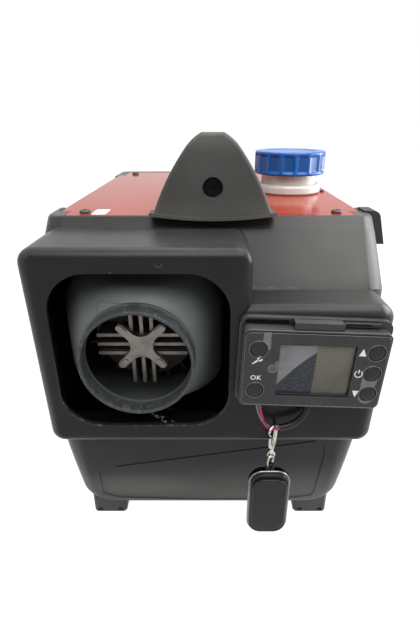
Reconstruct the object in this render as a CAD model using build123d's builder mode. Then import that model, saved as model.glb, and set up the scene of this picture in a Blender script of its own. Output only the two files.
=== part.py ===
from build123d import *
import os
from math import atan2, cos, degrees, pi, radians, sin, tan

os.makedirs("parts", exist_ok=True)

# Row frame: +Z up, the front looks along -Y, origin on the floor under the middle.
# Every length is in millimetres.

# --- driving dimensions -------------------------------------------------------
cowl_wall = 3.0
cowl_bottom_z = 12.0  # the feet lift the cowls this far
top_z = 285.0  # upper face of the painted top plate
sheet = 1.2  # painted steel of the casing
plate_thickness = 1.5
case_half_width = 112.0  # painted casing, outside
cowl_step = 8.0  # the black front cowl stands this far outside the casing
cowl_half_width = case_half_width + cowl_step
fit_gap = 0.3  # clearance between parts that only lie beside each other

# front cowl, seen from the side
front_seam_y = -92.0
toe_y = -136.0
face_y = -157.0
chin_z = 130.0
brow_z = top_z - 44.0
crease_y = -131.0
crease_z = top_z - 8.0
crown_y = -124.0

# rear cowl, seen from the side
rear_seam_y = 120.0
rear_toe_y = 183.0
rear_face_y = 197.0
rear_chin_z = 112.0
rear_brow_z = top_z - 21.0
rear_crown_y = 166.0
rear_cowl_half_width = case_half_width + 6.0
cowl_bulge = 4.5  # the cowls' sides swell by this much at chin height
cowl_draw_in = 3.5  # and draw in by this much at the bottom
cowl_corner = 30.0  # rounding of the lower corners, seen from the front
casing_bend = 22.0  # the casing's lower corners
front_edge_radius = 12.0
rear_edge_radius = 9.0
cowl_top_radius = 4.0
flange_thickness = 3.0
corner_block_x = case_half_width - 7.0  # the cowls' corners rise flush beside the plate from here
corner_block_y = -106.0

# fixings of the top plate
screw_inset = 19.5
screw_places = [
    (screw_inset - case_half_width, -113.5),
    (case_half_width - screw_inset + 1.5, -113.5),
    (screw_inset - 1.5 - case_half_width, 132.0),
    (case_half_width - screw_inset + 1.5, 132.0),
]
screw_radius = 1.9
screw_gap = 0.05  # the thread bites here
stud_place = (case_half_width - 4.2, -10.0)
stud_radius = 2.0

# sunk panel low on the front cowl
panel_depth = 0.9
panel_corner = 7.0
ridge_width = 1.4
ridge_height = 0.5

# raised nose on the front cowl
nose_y = -188.0
nose_left_x = -case_half_width - 3.5
nose_step_x = 26.5
nose_right_x = case_half_width + 4.6
nose_flare = 2.6  # its sides lean out towards the top
nose_bottom_z = 132.5
nose_top_z = top_z - 7.0
ledge_z = brow_z
nose_edge_radius = 7.0

# warm-air outlet
outlet_x = -47.0
outlet_z = 206.0
outlet_rim_y = -200.5
collar_radius = 37.5
collar_wall = 2.5
recess_width = 116.0
recess_height = 114.0
recess_corner = 27.0
recess_x = -45.0

# heater core
jacket_width = 112.0
jacket_height = 104.0
jacket_corner = 26.0
jacket_wall = 2.5
jacket_front_y = -148.0
jacket_rear_y = 150.0
star_y = -175.5
exchanger_radius = 36.0
exchanger_wall = 3.5
exchanger_rear_y = 30.0
fin_count = 20
fin_width = 2.2
fin_radius = 47.0
burner_radius = 22.0
blower_radius = 46.0
blower_rear_y = 74.0
motor_radius = 22.0
motor_length = 38.0
shaft_radius = 2.5
shaft_running_gap = 0.05
fan_y = 131.0
fan_radius = 48.0
fan_blades = 9
impeller_y = 59.0
impeller_radius = 32.0

# fuel tank and filler
tank_x = 62.0
tank_width = 88.0
tank_front_y = -112.0
tank_rear_y = 108.0
tank_top_z = top_z - 15.0
tank_wall = 2.5
neck_x = 75.0
neck_y = -7.0
neck_radius = 25.5
neck_bore_radius = 20.0
cap_radius = 32.5
cap_bottom_z = top_z + 17.0
cap_top_z = cap_bottom_z + 20.0
cap_flutes = 16

# carrying handle
fin_front_y = -135.5
fin_thickness = 13.0
fin_top_z = top_z + 55.5
fin_base_half = 42.8
rear_fin_drop = 9.5
grip_width = 24.0
grip_height = 15.0

# controller
controller_width = 93.0
controller_height = 56.0
controller_x = 66.0
controller_z = 202.0
controller_roll = -2.2
controller_face_y = -201.0
button_radius = 5.4
button_travel = 0.8
button_gap = 0.15

# lead, clasp and key fob
hang_x = 44.0
hang_y = -195.0
wire_diameter = 1.9
sleeve_diameter = 4.6
fob_width = 31.0
fob_length = 62.0
fob_thickness = 9.0
fob_top_z = 114.5

# pipes that leave the left side
pipe_end_x = -case_half_width - 18.0
bead_width = 2.5
exhaust_radius = 12.0
air_pipe_radius = 12.5
pipe_wall = 1.5
exhaust_y = 0.0
exhaust_exit_z = 60.0
air_pipe_y = impeller_y
air_pipe_exit_z = 100.0
core_port_z = 143.0
pipe_bend = 26.0

# fuel pump and line, low on the left
pump_x = -55.0
pump_y = -60.0
pump_z = 50.0
pump_radius = 15.0
pump_length = 50.0
plunger_radius = 5.0
plunger_length = 20.0
plunger_stroke = 3.0
line_radius = 2.5
line_bore = 1.0

# places that follow from these
floor_z = cowl_bottom_z + cowl_wall  # the casing floor lies on the cowls' bottom walls
floor_top_z = floor_z + sheet
plate_under_z = top_z - plate_thickness
flange_under_z = plate_under_z - flange_thickness
seam_front = front_seam_y + fit_gap
seam_rear = rear_seam_y - fit_gap
plate_front_y = crown_y + 1.5
plate_rear_y = rear_crown_y - 14.0
plate_half_width = case_half_width + plate_thickness


# --- helpers ------------------------------------------------------------------
def front_plane(y):
    # upright plane at this Y; its sketch reads X to the right and Z up, seen from the front
    return Plane.XZ.offset(-y)


def save(part, name):
    part.label = name
    export_step(part, f"parts/{name}.step")


def cowl_form(side_points, half_width, edge_radius, inset):
    # closed block with the cowl's outside, drawn in by `inset` on every face;
    # the first and last side points lie on its seam with the casing
    seam_y = side_points[0][0]
    low_z = cowl_bottom_z + inset
    high_z = top_z - inset
    low_x = half_width - cowl_draw_in - inset
    swell_x = half_width + cowl_bulge - inset
    high_x = half_width - inset
    with BuildPart() as form:
        with BuildSketch(Plane.YZ.offset(-half_width - 2 * cowl_bulge)):
            with BuildLine():
                Polyline(*side_points, close=True)
            make_face()
            if inset > 0:
                offset(amount=-inset, kind=Kind.INTERSECTION, mode=Mode.REPLACE)
        extrude(amount=2 * (half_width + 2 * cowl_bulge))
        # barrel-shaped outline seen from the front, with rounded lower corners
        with BuildSketch(front_plane(0)) as barrel:
            with BuildLine():
                Line((-low_x, low_z), (low_x, low_z))
                ThreePointArc((low_x, low_z), (swell_x, chin_z), (high_x, high_z))
                Line((high_x, high_z), (-high_x, high_z))
                ThreePointArc((-high_x, high_z), (-swell_x, chin_z), (-low_x, low_z))
            make_face()
            fillet(barrel.vertices().group_by(Axis.Y)[0], radius=cowl_corner - inset)
        extrude(amount=300.0, both=True, mode=Mode.INTERSECT)
        rounded = [
            edge
            for edge in form.edges()
            if (abs(edge.center().X) > 1 or edge.center().Z < low_z + 1)
            and abs(edge.center().Y - seam_y) > inset + 1
            and edge.center().Z < high_z - 1
            and abs((edge @ 0).Y - (edge @ 1).Y) < 0.9 * edge.length
        ]
        fillet(rounded, radius=edge_radius - inset)
        if inset == 0:
            top_face = form.faces().sort_by(Axis.Z)[-1]
            outline = [edge for edge in top_face.edges() if abs(edge.center().Y - seam_y) > 1]
            fillet(outline, radius=cowl_top_radius)
    return form.part


def nose_form(inset, back_y):
    # the raised L-shaped nose of the front cowl, drawn in by `inset`
    with BuildPart() as form:
        with BuildSketch(front_plane(back_y)) as outline:
            with BuildLine():
                Polyline(
                    (nose_left_x, nose_bottom_z),
                    (nose_right_x, nose_bottom_z),
                    (nose_right_x + nose_flare, ledge_z),
                    (nose_step_x, ledge_z),
                    (nose_step_x, nose_top_z),
                    (nose_left_x - nose_flare, nose_top_z),
                    close=True,
                )
            make_face()
            if inset > 0:
                offset(amount=-inset, kind=Kind.INTERSECTION, mode=Mode.REPLACE)
            step = outline.vertices().sort_by(Axis.X)[2:4].sort_by(Axis.Y)[0]
            corners = [v for v in outline.vertices() if (v.center() - step.center()).length > 1]
            fillet(corners, radius=10.0 - inset)
        extrude(amount=back_y - nose_y - inset)
        fillet(form.faces().sort_by(Axis.Y)[0].edges(), radius=nose_edge_radius - inset)
    return form.part


def case_outline(inset, low, high):
    # section of the painted casing with its rounded lower corners, drawn in by `inset`
    with BuildSketch(front_plane(0)) as section:
        with Locations((0, (low + high) / 2)):
            Rectangle(2 * (case_half_width - inset), high - low)
        fillet(section.vertices().group_by(Axis.Y)[0], radius=casing_bend - inset)
    return section.sketch_local


# --- front cowl ---------------------------------------------------------------
front_side = [
    (front_seam_y, cowl_bottom_z),
    (toe_y, cowl_bottom_z),
    (face_y, chin_z),
    (face_y, brow_z),
    (crease_y, crease_z),
    (crown_y, top_z),
    (front_seam_y, top_z),
]
front_block = cowl_form(front_side, cowl_half_width, front_edge_radius, 0)
front_hollow = cowl_form(front_side, cowl_half_width, front_edge_radius, cowl_wall)
nose_block = nose_form(0, face_y + 30)
nose_hollow = nose_form(cowl_wall, face_y + 19)

# plane of the lower front, leaning back towards the toe
lean = Vector(0, face_y - toe_y, chin_z - cowl_bottom_z).normalized()
lower_front = Plane(origin=(0, toe_y, cowl_bottom_z), x_dir=(1, 0, 0), z_dir=(0, -lean.Z, lean.Y))
panel_outline = [
    (-99, 55),
    (96, 94),
    (98.5, 75),
    (97, 15),
    (70, 9),
    (-5, 7.5),
    (-84, 11.5),
    (-100, 17),
]

with BuildPart() as front_flange:
    # strip under the plate's front edge that the screws bite
    add(front_block)
    with BuildSketch(Plane.XY.offset(plate_under_z)):
        with Locations((0, (plate_front_y + front_seam_y) / 2)):
            Rectangle(2 * cowl_half_width, front_seam_y - plate_front_y)
    extrude(amount=-flange_thickness, mode=Mode.INTERSECT)

with BuildPart() as front_cowl:
    add(front_block)
    add(nose_block)
    add(front_hollow, mode=Mode.SUBTRACT)
    add(nose_hollow, mode=Mode.SUBTRACT)
    # seat of the top plate
    with BuildSketch(Plane.XY.offset(plate_under_z)):
        with Locations((0, (plate_front_y - fit_gap + front_seam_y) / 2)):
            Rectangle(2 * (corner_block_x + fit_gap), front_seam_y - plate_front_y + fit_gap)
        with Locations((0, (corner_block_y - fit_gap + front_seam_y) / 2)):
            Rectangle(2 * (plate_half_width + fit_gap), front_seam_y - corner_block_y + fit_gap)
    extrude(amount=plate_thickness + 1, mode=Mode.SUBTRACT)
    add(front_flange.part)
    with BuildSketch(Plane.XY.offset(plate_under_z)):
        with Locations(*screw_places[:2]):
            Circle(screw_radius + screw_gap)
    extrude(amount=-flange_thickness - 1, mode=Mode.SUBTRACT)
    # the seam stands open for the casing
    with BuildSketch(front_plane(front_seam_y)):
        add(case_outline(-fit_gap, floor_z, flange_under_z))
    extrude(amount=cowl_wall + 1, mode=Mode.SUBTRACT)
    # recess round the warm-air outlet
    with BuildSketch(front_plane(nose_y + cowl_wall + 1)):
        with Locations((recess_x, outlet_z)):
            RectangleRounded(recess_width, recess_height, recess_corner)
    extrude(amount=cowl_wall + 2, mode=Mode.SUBTRACT)
    # sunk panel on the lower front
    with BuildSketch(lower_front.offset(-panel_depth)) as panel:
        with BuildLine():
            Polyline(*panel_outline, close=True)
        make_face()
        fillet(panel.vertices(), radius=panel_corner)
    extrude(amount=panel_depth + 3, mode=Mode.SUBTRACT)
    # raised ridge along the panel's slanting upper edge
    slant_start = Vector(*panel_outline[0])
    slant = Vector(*panel_outline[1]) - slant_start
    with BuildSketch(lower_front.offset(-panel_depth - 0.5)):
        with Locations(slant_start + slant * 0.52):
            Rectangle(slant.length * 0.88, ridge_width, rotation=degrees(atan2(slant.Y, slant.X)))
    extrude(amount=panel_depth + 0.5 + ridge_height)
save(front_cowl.part, "front_cowl")

# --- rear cowl ----------------------------------------------------------------
grille_radius = 50.0
socket_x = 72.0
socket_z = 160.0
socket_width = 26.0
socket_height = 16.0

rear_side = [
    (rear_seam_y, cowl_bottom_z),
    (rear_toe_y, cowl_bottom_z),
    (rear_face_y, rear_chin_z),
    (rear_face_y, rear_brow_z),
    (rear_crown_y, top_z),
    (rear_seam_y, top_z),
]
rear_block = cowl_form(rear_side, rear_cowl_half_width, rear_edge_radius, 0)
rear_hollow = cowl_form(rear_side, rear_cowl_half_width, rear_edge_radius, cowl_wall)

with BuildPart() as rear_flange:
    add(rear_block)
    with BuildSketch(Plane.XY.offset(plate_under_z)):
        with Locations((0, (rear_seam_y + rear_crown_y) / 2)):
            Rectangle(2 * rear_cowl_half_width, rear_crown_y - rear_seam_y)
    extrude(amount=-flange_thickness, mode=Mode.INTERSECT)

with BuildPart() as rear_cowl:
    add(rear_block)
    add(rear_hollow, mode=Mode.SUBTRACT)
    with BuildSketch(Plane.XY.offset(plate_under_z)):
        with Locations((0, (rear_seam_y + plate_rear_y + fit_gap) / 2)):
            Rectangle(2 * (corner_block_x + fit_gap), plate_rear_y + fit_gap - rear_seam_y)
    extrude(amount=plate_thickness + 1, mode=Mode.SUBTRACT)
    add(rear_flange.part)
    with BuildSketch(Plane.XY.offset(plate_under_z)):
        with Locations(*screw_places[2:]):
            Circle(screw_radius + screw_gap)
    extrude(amount=-flange_thickness - 1, mode=Mode.SUBTRACT)
    with BuildSketch(front_plane(rear_seam_y)):
        add(case_outline(-fit_gap, floor_z, flange_under_z))
    extrude(amount=-cowl_wall - 1, mode=Mode.SUBTRACT)
    # round hole for the intake grille and a slot for the power inlet
    with BuildSketch(front_plane(rear_face_y + 1)):
        with Locations((outlet_x, outlet_z)):
            Circle(grille_radius)
        with Locations((socket_x, socket_z)):
            Rectangle(socket_width, socket_height)
    extrude(amount=cowl_wall + 3, mode=Mode.SUBTRACT)
save(rear_cowl.part, "rear_cowl")

# --- painted casing, top plate, feet ------------------------------------------
port_gap = 1.0
exhaust_hole = exhaust_radius + port_gap
air_hole = air_pipe_radius + port_gap
case_length = seam_rear - seam_front
floor_length = case_length + 2 * 16.0
tongue_width = 2 * (case_half_width - casing_bend) - 4.0

with BuildPart() as casing:
    with BuildSketch(front_plane(seam_rear)):
        add(case_outline(0, floor_z, plate_under_z))
        add(case_outline(sheet, floor_top_z, plate_under_z + 2), mode=Mode.SUBTRACT)
    extrude(amount=case_length)
    with BuildSketch(Plane.XY.offset(floor_z)):
        with Locations((0, (seam_front + seam_rear) / 2)):
            Rectangle(tongue_width, floor_length)
    extrude(amount=sheet)
    # holes where the exhaust and the combustion-air pipe leave
    with BuildSketch(Plane.YZ.offset(-case_half_width - 1)):
        with Locations((exhaust_y, exhaust_exit_z)):
            Circle(exhaust_hole)
        with Locations((air_pipe_y, air_pipe_exit_z)):
            Circle(air_hole)
    extrude(amount=sheet + 2, mode=Mode.SUBTRACT)
    # cooling louvres in the right side
    with BuildSketch(Plane.YZ.offset(case_half_width + 1)):
        with GridLocations(0, 11.0, 1, 6):
            with Locations((14.0, 80.0)):
                SlotOverall(70.0, 4.0)
    extrude(amount=-sheet - 2, mode=Mode.SUBTRACT)
save(casing.part, "casing")

lip_height = 12.0
filler_hole_radius = neck_radius + 1.5

with BuildPart() as top_plate:
    with BuildSketch(Plane.XY.offset(plate_under_z)) as plate:
        with Locations((0, (plate_front_y + plate_rear_y) / 2)):
            Rectangle(2 * corner_block_x, plate_rear_y - plate_front_y)
        with Locations((0, (corner_block_y + seam_rear) / 2)):
            Rectangle(2 * plate_half_width, seam_rear - corner_block_y)
    extrude(amount=plate_thickness)
    with BuildSketch(Plane.XY.offset(plate_under_z)):
        with Locations((0, (seam_front + seam_rear) / 2)):
            Rectangle(2 * plate_half_width, case_length)
            Rectangle(2 * case_half_width, case_length, mode=Mode.SUBTRACT)
    extrude(amount=-lip_height)
    folds = top_plate.faces().sort_by(Axis.Z)[-1].edges().filter_by(Axis.Y)
    fillet([edge for edge in folds if abs(edge.center().X) > corner_block_x + 1], radius=1.2)
    with BuildSketch(Plane.XY.offset(plate_under_z)):
        with Locations((neck_x, neck_y)):
            Circle(filler_hole_radius)
        with Locations(*screw_places):
            Circle(screw_radius)
    extrude(amount=plate_thickness, mode=Mode.SUBTRACT)
save(top_plate.part, "top_plate")

with BuildPart() as case_screws:
    with Locations(*[(x, y, top_z) for x, y in screw_places]):
        Cylinder(4.1, 2.4, align=(Align.CENTER, Align.CENTER, Align.MIN))
    fillet(case_screws.edges().group_by(Axis.Z)[-1], radius=1.4)
    with Locations(*[(x, y, top_z) for x, y in screw_places]):
        Cylinder(screw_radius, 4.0, align=(Align.CENTER, Align.CENTER, Align.MAX))
    with BuildSketch(Plane.XY.offset(top_z + 2.4)):
        with Locations(*screw_places):
            Rectangle(3.6, 0.9)
            Rectangle(0.9, 3.6)
    extrude(amount=-1.2, mode=Mode.SUBTRACT)
    with Locations((*stud_place, top_z)):
        Cylinder(stud_radius, 1.4, align=(Align.CENTER, Align.CENTER, Align.MIN))
save(case_screws.part, "case_screws")

foot_x = cowl_half_width - 23.5
foot_width = 31.0
foot_height = 28.0  # cut to the rounded corners of the cowls
foot_length = 34.0
front_foot_y = -117.0
rear_foot_y = 158.0

with BuildPart() as feet:
    with Locations(*[(x, y, 0) for x in (-foot_x, foot_x) for y in (front_foot_y, rear_foot_y)]):
        Box(foot_width, foot_length, foot_height, align=(Align.CENTER, Align.CENTER, Align.MIN))
    chamfer(feet.edges().filter_by(Axis.Z), length=2.5)
    chamfer(feet.faces().sort_by(Axis.Z)[:4].edges(), length=1.0)
    # grip notches across the front end
    with BuildSketch(front_plane(front_foot_y - foot_length / 2)):
        for x in (-foot_x, foot_x):
            with Locations((x - 9.5, 3.5), (x + 9.5, 3.5)):
                Rectangle(4.0, 4.0)
    extrude(amount=-4.0, mode=Mode.SUBTRACT)
    add(front_block, mode=Mode.SUBTRACT)
    add(rear_block, mode=Mode.SUBTRACT)
save(feet.part, "feet")

# --- carrying handle ----------------------------------------------------------
hole_z = top_z + 21.0
hole_x = 1.9  # the front fin and its bolt stand a little to the right
hole_radius = 7.0
hole_depth = 9.0
bolt_radius = 3.0
fin_foot_z = top_z - 1.0  # hangs over the cowl's shoulder
fin_shoulder_half = 18.0  # half width where the flanks round over to the top
fin_shoulder_drop = 8.8
fin_top_half = 7.5
fin_belly = 2.0  # how far the flanks bow out from a straight line
lip_rise = 3.5  # the foot's lip curves up towards its ends
lip_width = 2.2
lip_out = 1.8
pad_depth = 12.0  # foot pad on the plate behind each fin
pad_thickness = 3.0
lip_overhang = fin_thickness - 3.0
leg_thickness = 10.0


def fin_form(front_y, thickness, lower):
    # upright handle end, bell-shaped: bowed flanks on a wide foot, rounded over at the top
    high_z = fin_top_z - lower
    shoulder_z = high_z - fin_shoulder_drop
    flank_x = (fin_base_half + fin_shoulder_half) / 2 + fin_belly
    flank_z = (fin_foot_z + shoulder_z) / 2 + fin_belly / 2
    with BuildPart() as form:
        with BuildSketch(front_plane(front_y + thickness)):
            with BuildLine() as right_side:
                Line((0, fin_foot_z), (fin_base_half, fin_foot_z))
                ThreePointArc(
                    (fin_base_half, fin_foot_z),
                    (flank_x, flank_z),
                    (fin_shoulder_half, shoulder_z),
                )
                TangentArc(
                    (fin_shoulder_half, shoulder_z),
                    (fin_top_half, high_z),
                    tangent=right_side.line % 1,
                )
                Line((fin_top_half, high_z), (0, high_z))
                mirror(about=Plane.YZ)
            make_face()
        extrude(amount=thickness)
    return form.part


def lip_form(front_y, thickness):
    # lip round the foot of a fin, bowed up at its ends
    end_x = fin_base_half + lip_out
    with BuildPart() as form:
        with BuildSketch(front_plane(front_y + thickness)):
            with BuildLine():
                ThreePointArc(
                    (-end_x, fin_foot_z + lip_rise),
                    (0, fin_foot_z),
                    (end_x, fin_foot_z + lip_rise),
                )
                Line((end_x, fin_foot_z + lip_rise), (end_x - 1.0, fin_foot_z + lip_rise + lip_width))
                ThreePointArc(
                    (end_x - 1.0, fin_foot_z + lip_rise + lip_width),
                    (0, fin_foot_z + lip_width),
                    (1.0 - end_x, fin_foot_z + lip_rise + lip_width),
                )
                Line((1.0 - end_x, fin_foot_z + lip_rise + lip_width), (-end_x, fin_foot_z + lip_rise))
            make_face()
        extrude(amount=thickness)
    return form.part


def below_lip(front_y, thickness):
    # what the bowed lip leaves open under the fin's ends
    end_x = fin_base_half + lip_out
    with BuildPart() as form:
        with BuildSketch(front_plane(front_y + thickness)):
            with BuildLine():
                ThreePointArc(
                    (-end_x, fin_foot_z + lip_rise),
                    (0, fin_foot_z),
                    (end_x, fin_foot_z + lip_rise),
                )
                Polyline(
                    (end_x, fin_foot_z + lip_rise),
                    (end_x, fin_foot_z - 1.0),
                    (-end_x, fin_foot_z - 1.0),
                    (-end_x, fin_foot_z + lip_rise),
                )
            make_face()
        extrude(amount=thickness)
    return form.part


with BuildPart() as handle_front_fin:
    add(Pos(hole_x, 0, 0) * fin_form(fin_front_y, fin_thickness, 0))
    fillet(handle_front_fin.faces().sort_by(Axis.Y)[0].edges().sort_by(Axis.Z)[1:], radius=2.5)
    add(Pos(hole_x, 0, 0) * below_lip(fin_front_y, lip_overhang), mode=Mode.SUBTRACT)
    add(Pos(hole_x, 0, 0) * lip_form(fin_front_y - lip_out, lip_overhang + lip_out))
    add(front_block, mode=Mode.SUBTRACT)
    # pad that stands on the plate
    with BuildSketch(Plane.XY.offset(top_z)):
        with Locations((hole_x, fin_front_y + fin_thickness + pad_depth / 2 - 1.0)):
            Rectangle(2 * fin_base_half - 8.0, pad_depth + 2.0)
    extrude(amount=pad_thickness)
    with BuildSketch(front_plane(fin_front_y)):
        with Locations((hole_x, hole_z)):
            Circle(hole_radius)
    extrude(amount=-hole_depth, mode=Mode.SUBTRACT)
    with BuildSketch(front_plane(fin_front_y)):
        with Locations((hole_x, hole_z)):
            Circle(bolt_radius)
    extrude(amount=-fin_thickness, mode=Mode.SUBTRACT)
save(handle_front_fin.part, "handle_front_fin")

rear_fin_y = plate_rear_y + 1.0
with BuildPart() as handle_rear_fin:
    add(fin_form(rear_fin_y, fin_thickness, rear_fin_drop))
    fillet(handle_rear_fin.faces().sort_by(Axis.Y)[-1].edges().sort_by(Axis.Z)[1:], radius=2.5)
    add(rear_block, mode=Mode.SUBTRACT)
    with BuildSketch(Plane.XY.offset(top_z)):
        with Locations((0, rear_fin_y - pad_depth / 2 + 1.0)):
            Rectangle(2 * fin_base_half - 8.0, pad_depth + 2.0)
    extrude(amount=pad_thickness)
    with BuildSketch(front_plane(rear_fin_y + fin_thickness)):
        with Locations((0, hole_z)):
            Circle(hole_radius)
    extrude(amount=hole_depth, mode=Mode.SUBTRACT)
    with BuildSketch(front_plane(rear_fin_y + fin_thickness)):
        with Locations((0, hole_z)):
            Circle(bolt_radius)
    extrude(amount=fin_thickness, mode=Mode.SUBTRACT)
save(handle_rear_fin.part, "handle_rear_fin")

grip_front_y = fin_front_y + fin_thickness
grip_top_z = fin_top_z - 2.5
with BuildPart() as handle_grip:
    middle_y = (grip_front_y + rear_fin_y) / 2
    stations = [(grip_front_y, 0, 0), (middle_y, rear_fin_drop / 2, 2.0), (rear_fin_y, rear_fin_drop, 0)]
    for y, lower, swell in stations:
        with BuildSketch(front_plane(y)):
            with Locations((0, grip_top_z - grip_height / 2 - lower)):
                RectangleRounded(grip_width + swell, grip_height + swell, 6.0)
    loft()
    # end legs that the bolts bite
    for y, x, lower in ((grip_front_y + leg_thickness, hole_x, 0), (rear_fin_y, 0, rear_fin_drop)):
        with BuildSketch(front_plane(y)):
            with Locations((x, (hole_z - 8 + grip_top_z - lower - 4) / 2)):
                RectangleRounded(18.0, grip_top_z - lower - 4 - hole_z + 8, 4.0)
        extrude(amount=leg_thickness)
save(handle_grip.part, "handle_grip")

bolt_ends = [(fin_front_y + hole_depth, hole_x, 1), (rear_fin_y + fin_thickness - hole_depth, 0, -1)]
with BuildPart() as handle_bolts:
    for head_y, x, out in bolt_ends:
        with BuildSketch(front_plane(head_y)):
            with Locations((x, hole_z)):
                Circle(5.4)
        extrude(amount=out * 3.5)
        with BuildSketch(front_plane(head_y)):
            with Locations((x, hole_z)):
                Circle(bolt_radius)
        extrude(amount=-out * (fin_thickness - hole_depth))
    for head_y, x, out in bolt_ends:
        with BuildSketch(front_plane(head_y - out * 3.5)):
            with Locations((x, hole_z)):
                RegularPolygon(2.6, 6)
        extrude(amount=-out * 2.0, mode=Mode.SUBTRACT)
save(handle_bolts.part, "handle_bolts")

# --- shoulder guard at the right top corner -----------------------------------
guard_front_y = -112.0
guard_length = 16.0
guard_reach = 13.4
with BuildPart() as shoulder_guard:
    with BuildSketch(front_plane(guard_front_y + guard_length)) as guard:
        with BuildLine():
            Polyline(
                (cowl_half_width - 5.0, top_z - 4.0),
                (cowl_half_width - 5.0, top_z + 1.2),
                (cowl_half_width + 6.6, top_z + 1.2),
                (cowl_half_width + guard_reach, top_z - 24.0),
                (cowl_half_width - 2.0, top_z - 24.0),
                (cowl_half_width - 2.0, top_z - 4.0),
                close=True,
            )
        make_face()
        fillet(guard.vertices().sort_by(Axis.X)[4], radius=6.0)
    extrude(amount=guard_length)
    add(front_block, mode=Mode.SUBTRACT)
    with BuildSketch(Plane.XY.offset(flange_under_z)):
        Rectangle(2 * (plate_half_width + fit_gap), -2 * guard_front_y)
    extrude(amount=top_z - flange_under_z, mode=Mode.SUBTRACT)
save(shoulder_guard.part, "shoulder_guard")

# --- intake grille and power inlet at the back --------------------------------
grille_flange = 3.5
grille_rings = 5
ring_pitch = 8.4
ring_slot = 3.6
with BuildPart() as intake_grille:
    with BuildSketch(front_plane(rear_face_y)):
        with Locations((outlet_x, outlet_z)):
            Circle(grille_radius + grille_flange)
    extrude(amount=-2.0)
    with BuildSketch(front_plane(rear_face_y)):
        with Locations((outlet_x, outlet_z)):
            Circle(grille_radius - fit_gap)
    extrude(amount=cowl_wall)
    with BuildSketch(front_plane(rear_face_y - cowl_wall)):
        with Locations((outlet_x, outlet_z)):
            for ring in range(1, grille_rings + 1):
                Circle(ring * ring_pitch + ring_slot / 2)
                Circle(ring * ring_pitch - ring_slot / 2, mode=Mode.SUBTRACT)
            with PolarLocations(0, 4):
                Rectangle(2 * grille_radius, 4.0, mode=Mode.SUBTRACT)
    extrude(amount=-cowl_wall - 2.0, mode=Mode.SUBTRACT)
save(intake_grille.part, "intake_grille")

with BuildPart() as power_socket:
    with BuildSketch(front_plane(rear_face_y)):
        with Locations((socket_x, socket_z)):
            RectangleRounded(socket_width + 8, socket_height + 6, 3.0)
    extrude(amount=-2.0)
    with BuildSketch(front_plane(rear_face_y)):
        with Locations((socket_x, socket_z)):
            Rectangle(socket_width - 2 * fit_gap, socket_height - 2 * fit_gap)
    extrude(amount=16.0)
    with BuildSketch(front_plane(rear_face_y + 2.0)):
        with Locations((socket_x, socket_z)):
            RectangleRounded(socket_width - 4, socket_height - 4, 2.0)
    extrude(amount=12.0, mode=Mode.SUBTRACT)
    # two contact blades
    with BuildSketch(front_plane(rear_face_y - 10.0)):
        with GridLocations(9.0, 0, 2, 1):
            with Locations((socket_x, socket_z)):
                Rectangle(1.2, 6.0)
    extrude(amount=-9.0)
save(power_socket.part, "power_socket")

# --- warm-air hood and heater jacket ------------------------------------------
hood_depth = 40.0
# how far in front of the jacket, and how far the outline has closed in on the collar
hood_stations = [(0.0, 0.0), (12.0, 0.13), (26.0, 0.44), (36.0, 0.75), (hood_depth, 1.0)]


def hood_form(inset):
    with BuildPart() as form:
        for ahead, closed in hood_stations:
            width = jacket_width + (2 * collar_radius + 2 - jacket_width) * closed
            height = jacket_height + (2 * collar_radius + 2 - jacket_height) * closed
            flat = (min(width, height) / 2 - jacket_corner) * (1 - closed) ** 2 + 0.1
            corner = min(width, height) / 2 - flat
            with BuildSketch(front_plane(jacket_front_y - ahead)):
                with Locations((outlet_x, outlet_z)):
                    RectangleRounded(width - 2 * inset, height - 2 * inset, corner - inset)
        loft()
    return form.part


with BuildPart() as outlet_hood:
    add(hood_form(0))
    with BuildSketch(front_plane(jacket_front_y - hood_depth + 2.0)):
        with Locations((outlet_x, outlet_z)):
            Circle(collar_radius)
    extrude(amount=jacket_front_y - hood_depth + 2.0 - outlet_rim_y)
    add(hood_form(collar_wall), mode=Mode.SUBTRACT)
    with BuildSketch(front_plane(jacket_front_y - hood_depth + 10.0)):
        with Locations((outlet_x, outlet_z)):
            Circle(collar_radius - collar_wall)
    extrude(amount=jacket_front_y - hood_depth + 11.0 - outlet_rim_y, mode=Mode.SUBTRACT)
    rim = outlet_hood.faces().filter_by(Axis.Y).sort_by(Axis.Y)[0]
    fillet(rim.edges(), radius=1.0)
save(outlet_hood.part, "outlet_hood")

jacket_length = jacket_rear_y - jacket_front_y


def jacket_half(z_low, z_high):
    with BuildPart() as form:
        with BuildSketch(front_plane(jacket_rear_y)):
            with Locations((outlet_x, outlet_z)):
                RectangleRounded(jacket_width, jacket_height, jacket_corner)
                RectangleRounded(
                    jacket_width - 2 * jacket_wall,
                    jacket_height - 2 * jacket_wall,
                    jacket_corner - jacket_wall,
                    mode=Mode.SUBTRACT,
                )
            with Locations((outlet_x, (z_low + z_high) / 2)):
                Rectangle(jacket_width + 2, z_high - z_low, mode=Mode.INTERSECT)
        extrude(amount=jacket_length)
    return form.part


with BuildPart() as jacket_upper:
    add(jacket_half(outlet_z, outlet_z + jacket_height))
save(jacket_upper.part, "jacket_upper")

fuel_entry_x = -70.0
fuel_entry_y = 41.0
with BuildPart() as jacket_lower:
    add(jacket_half(outlet_z - jacket_height, outlet_z))
    with BuildSketch(Plane.XY.offset(outlet_z - jacket_height / 2 - 1)):
        with Locations((outlet_x, exhaust_y)):
            Circle(exhaust_radius + port_gap)
        with Locations((outlet_x, air_pipe_y)):
            Circle(air_pipe_radius + port_gap)
        with Locations((fuel_entry_x, fuel_entry_y)):
            Circle(line_radius + port_gap)
    extrude(amount=12.0, mode=Mode.SUBTRACT)
save(jacket_lower.part, "jacket_lower")

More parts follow.
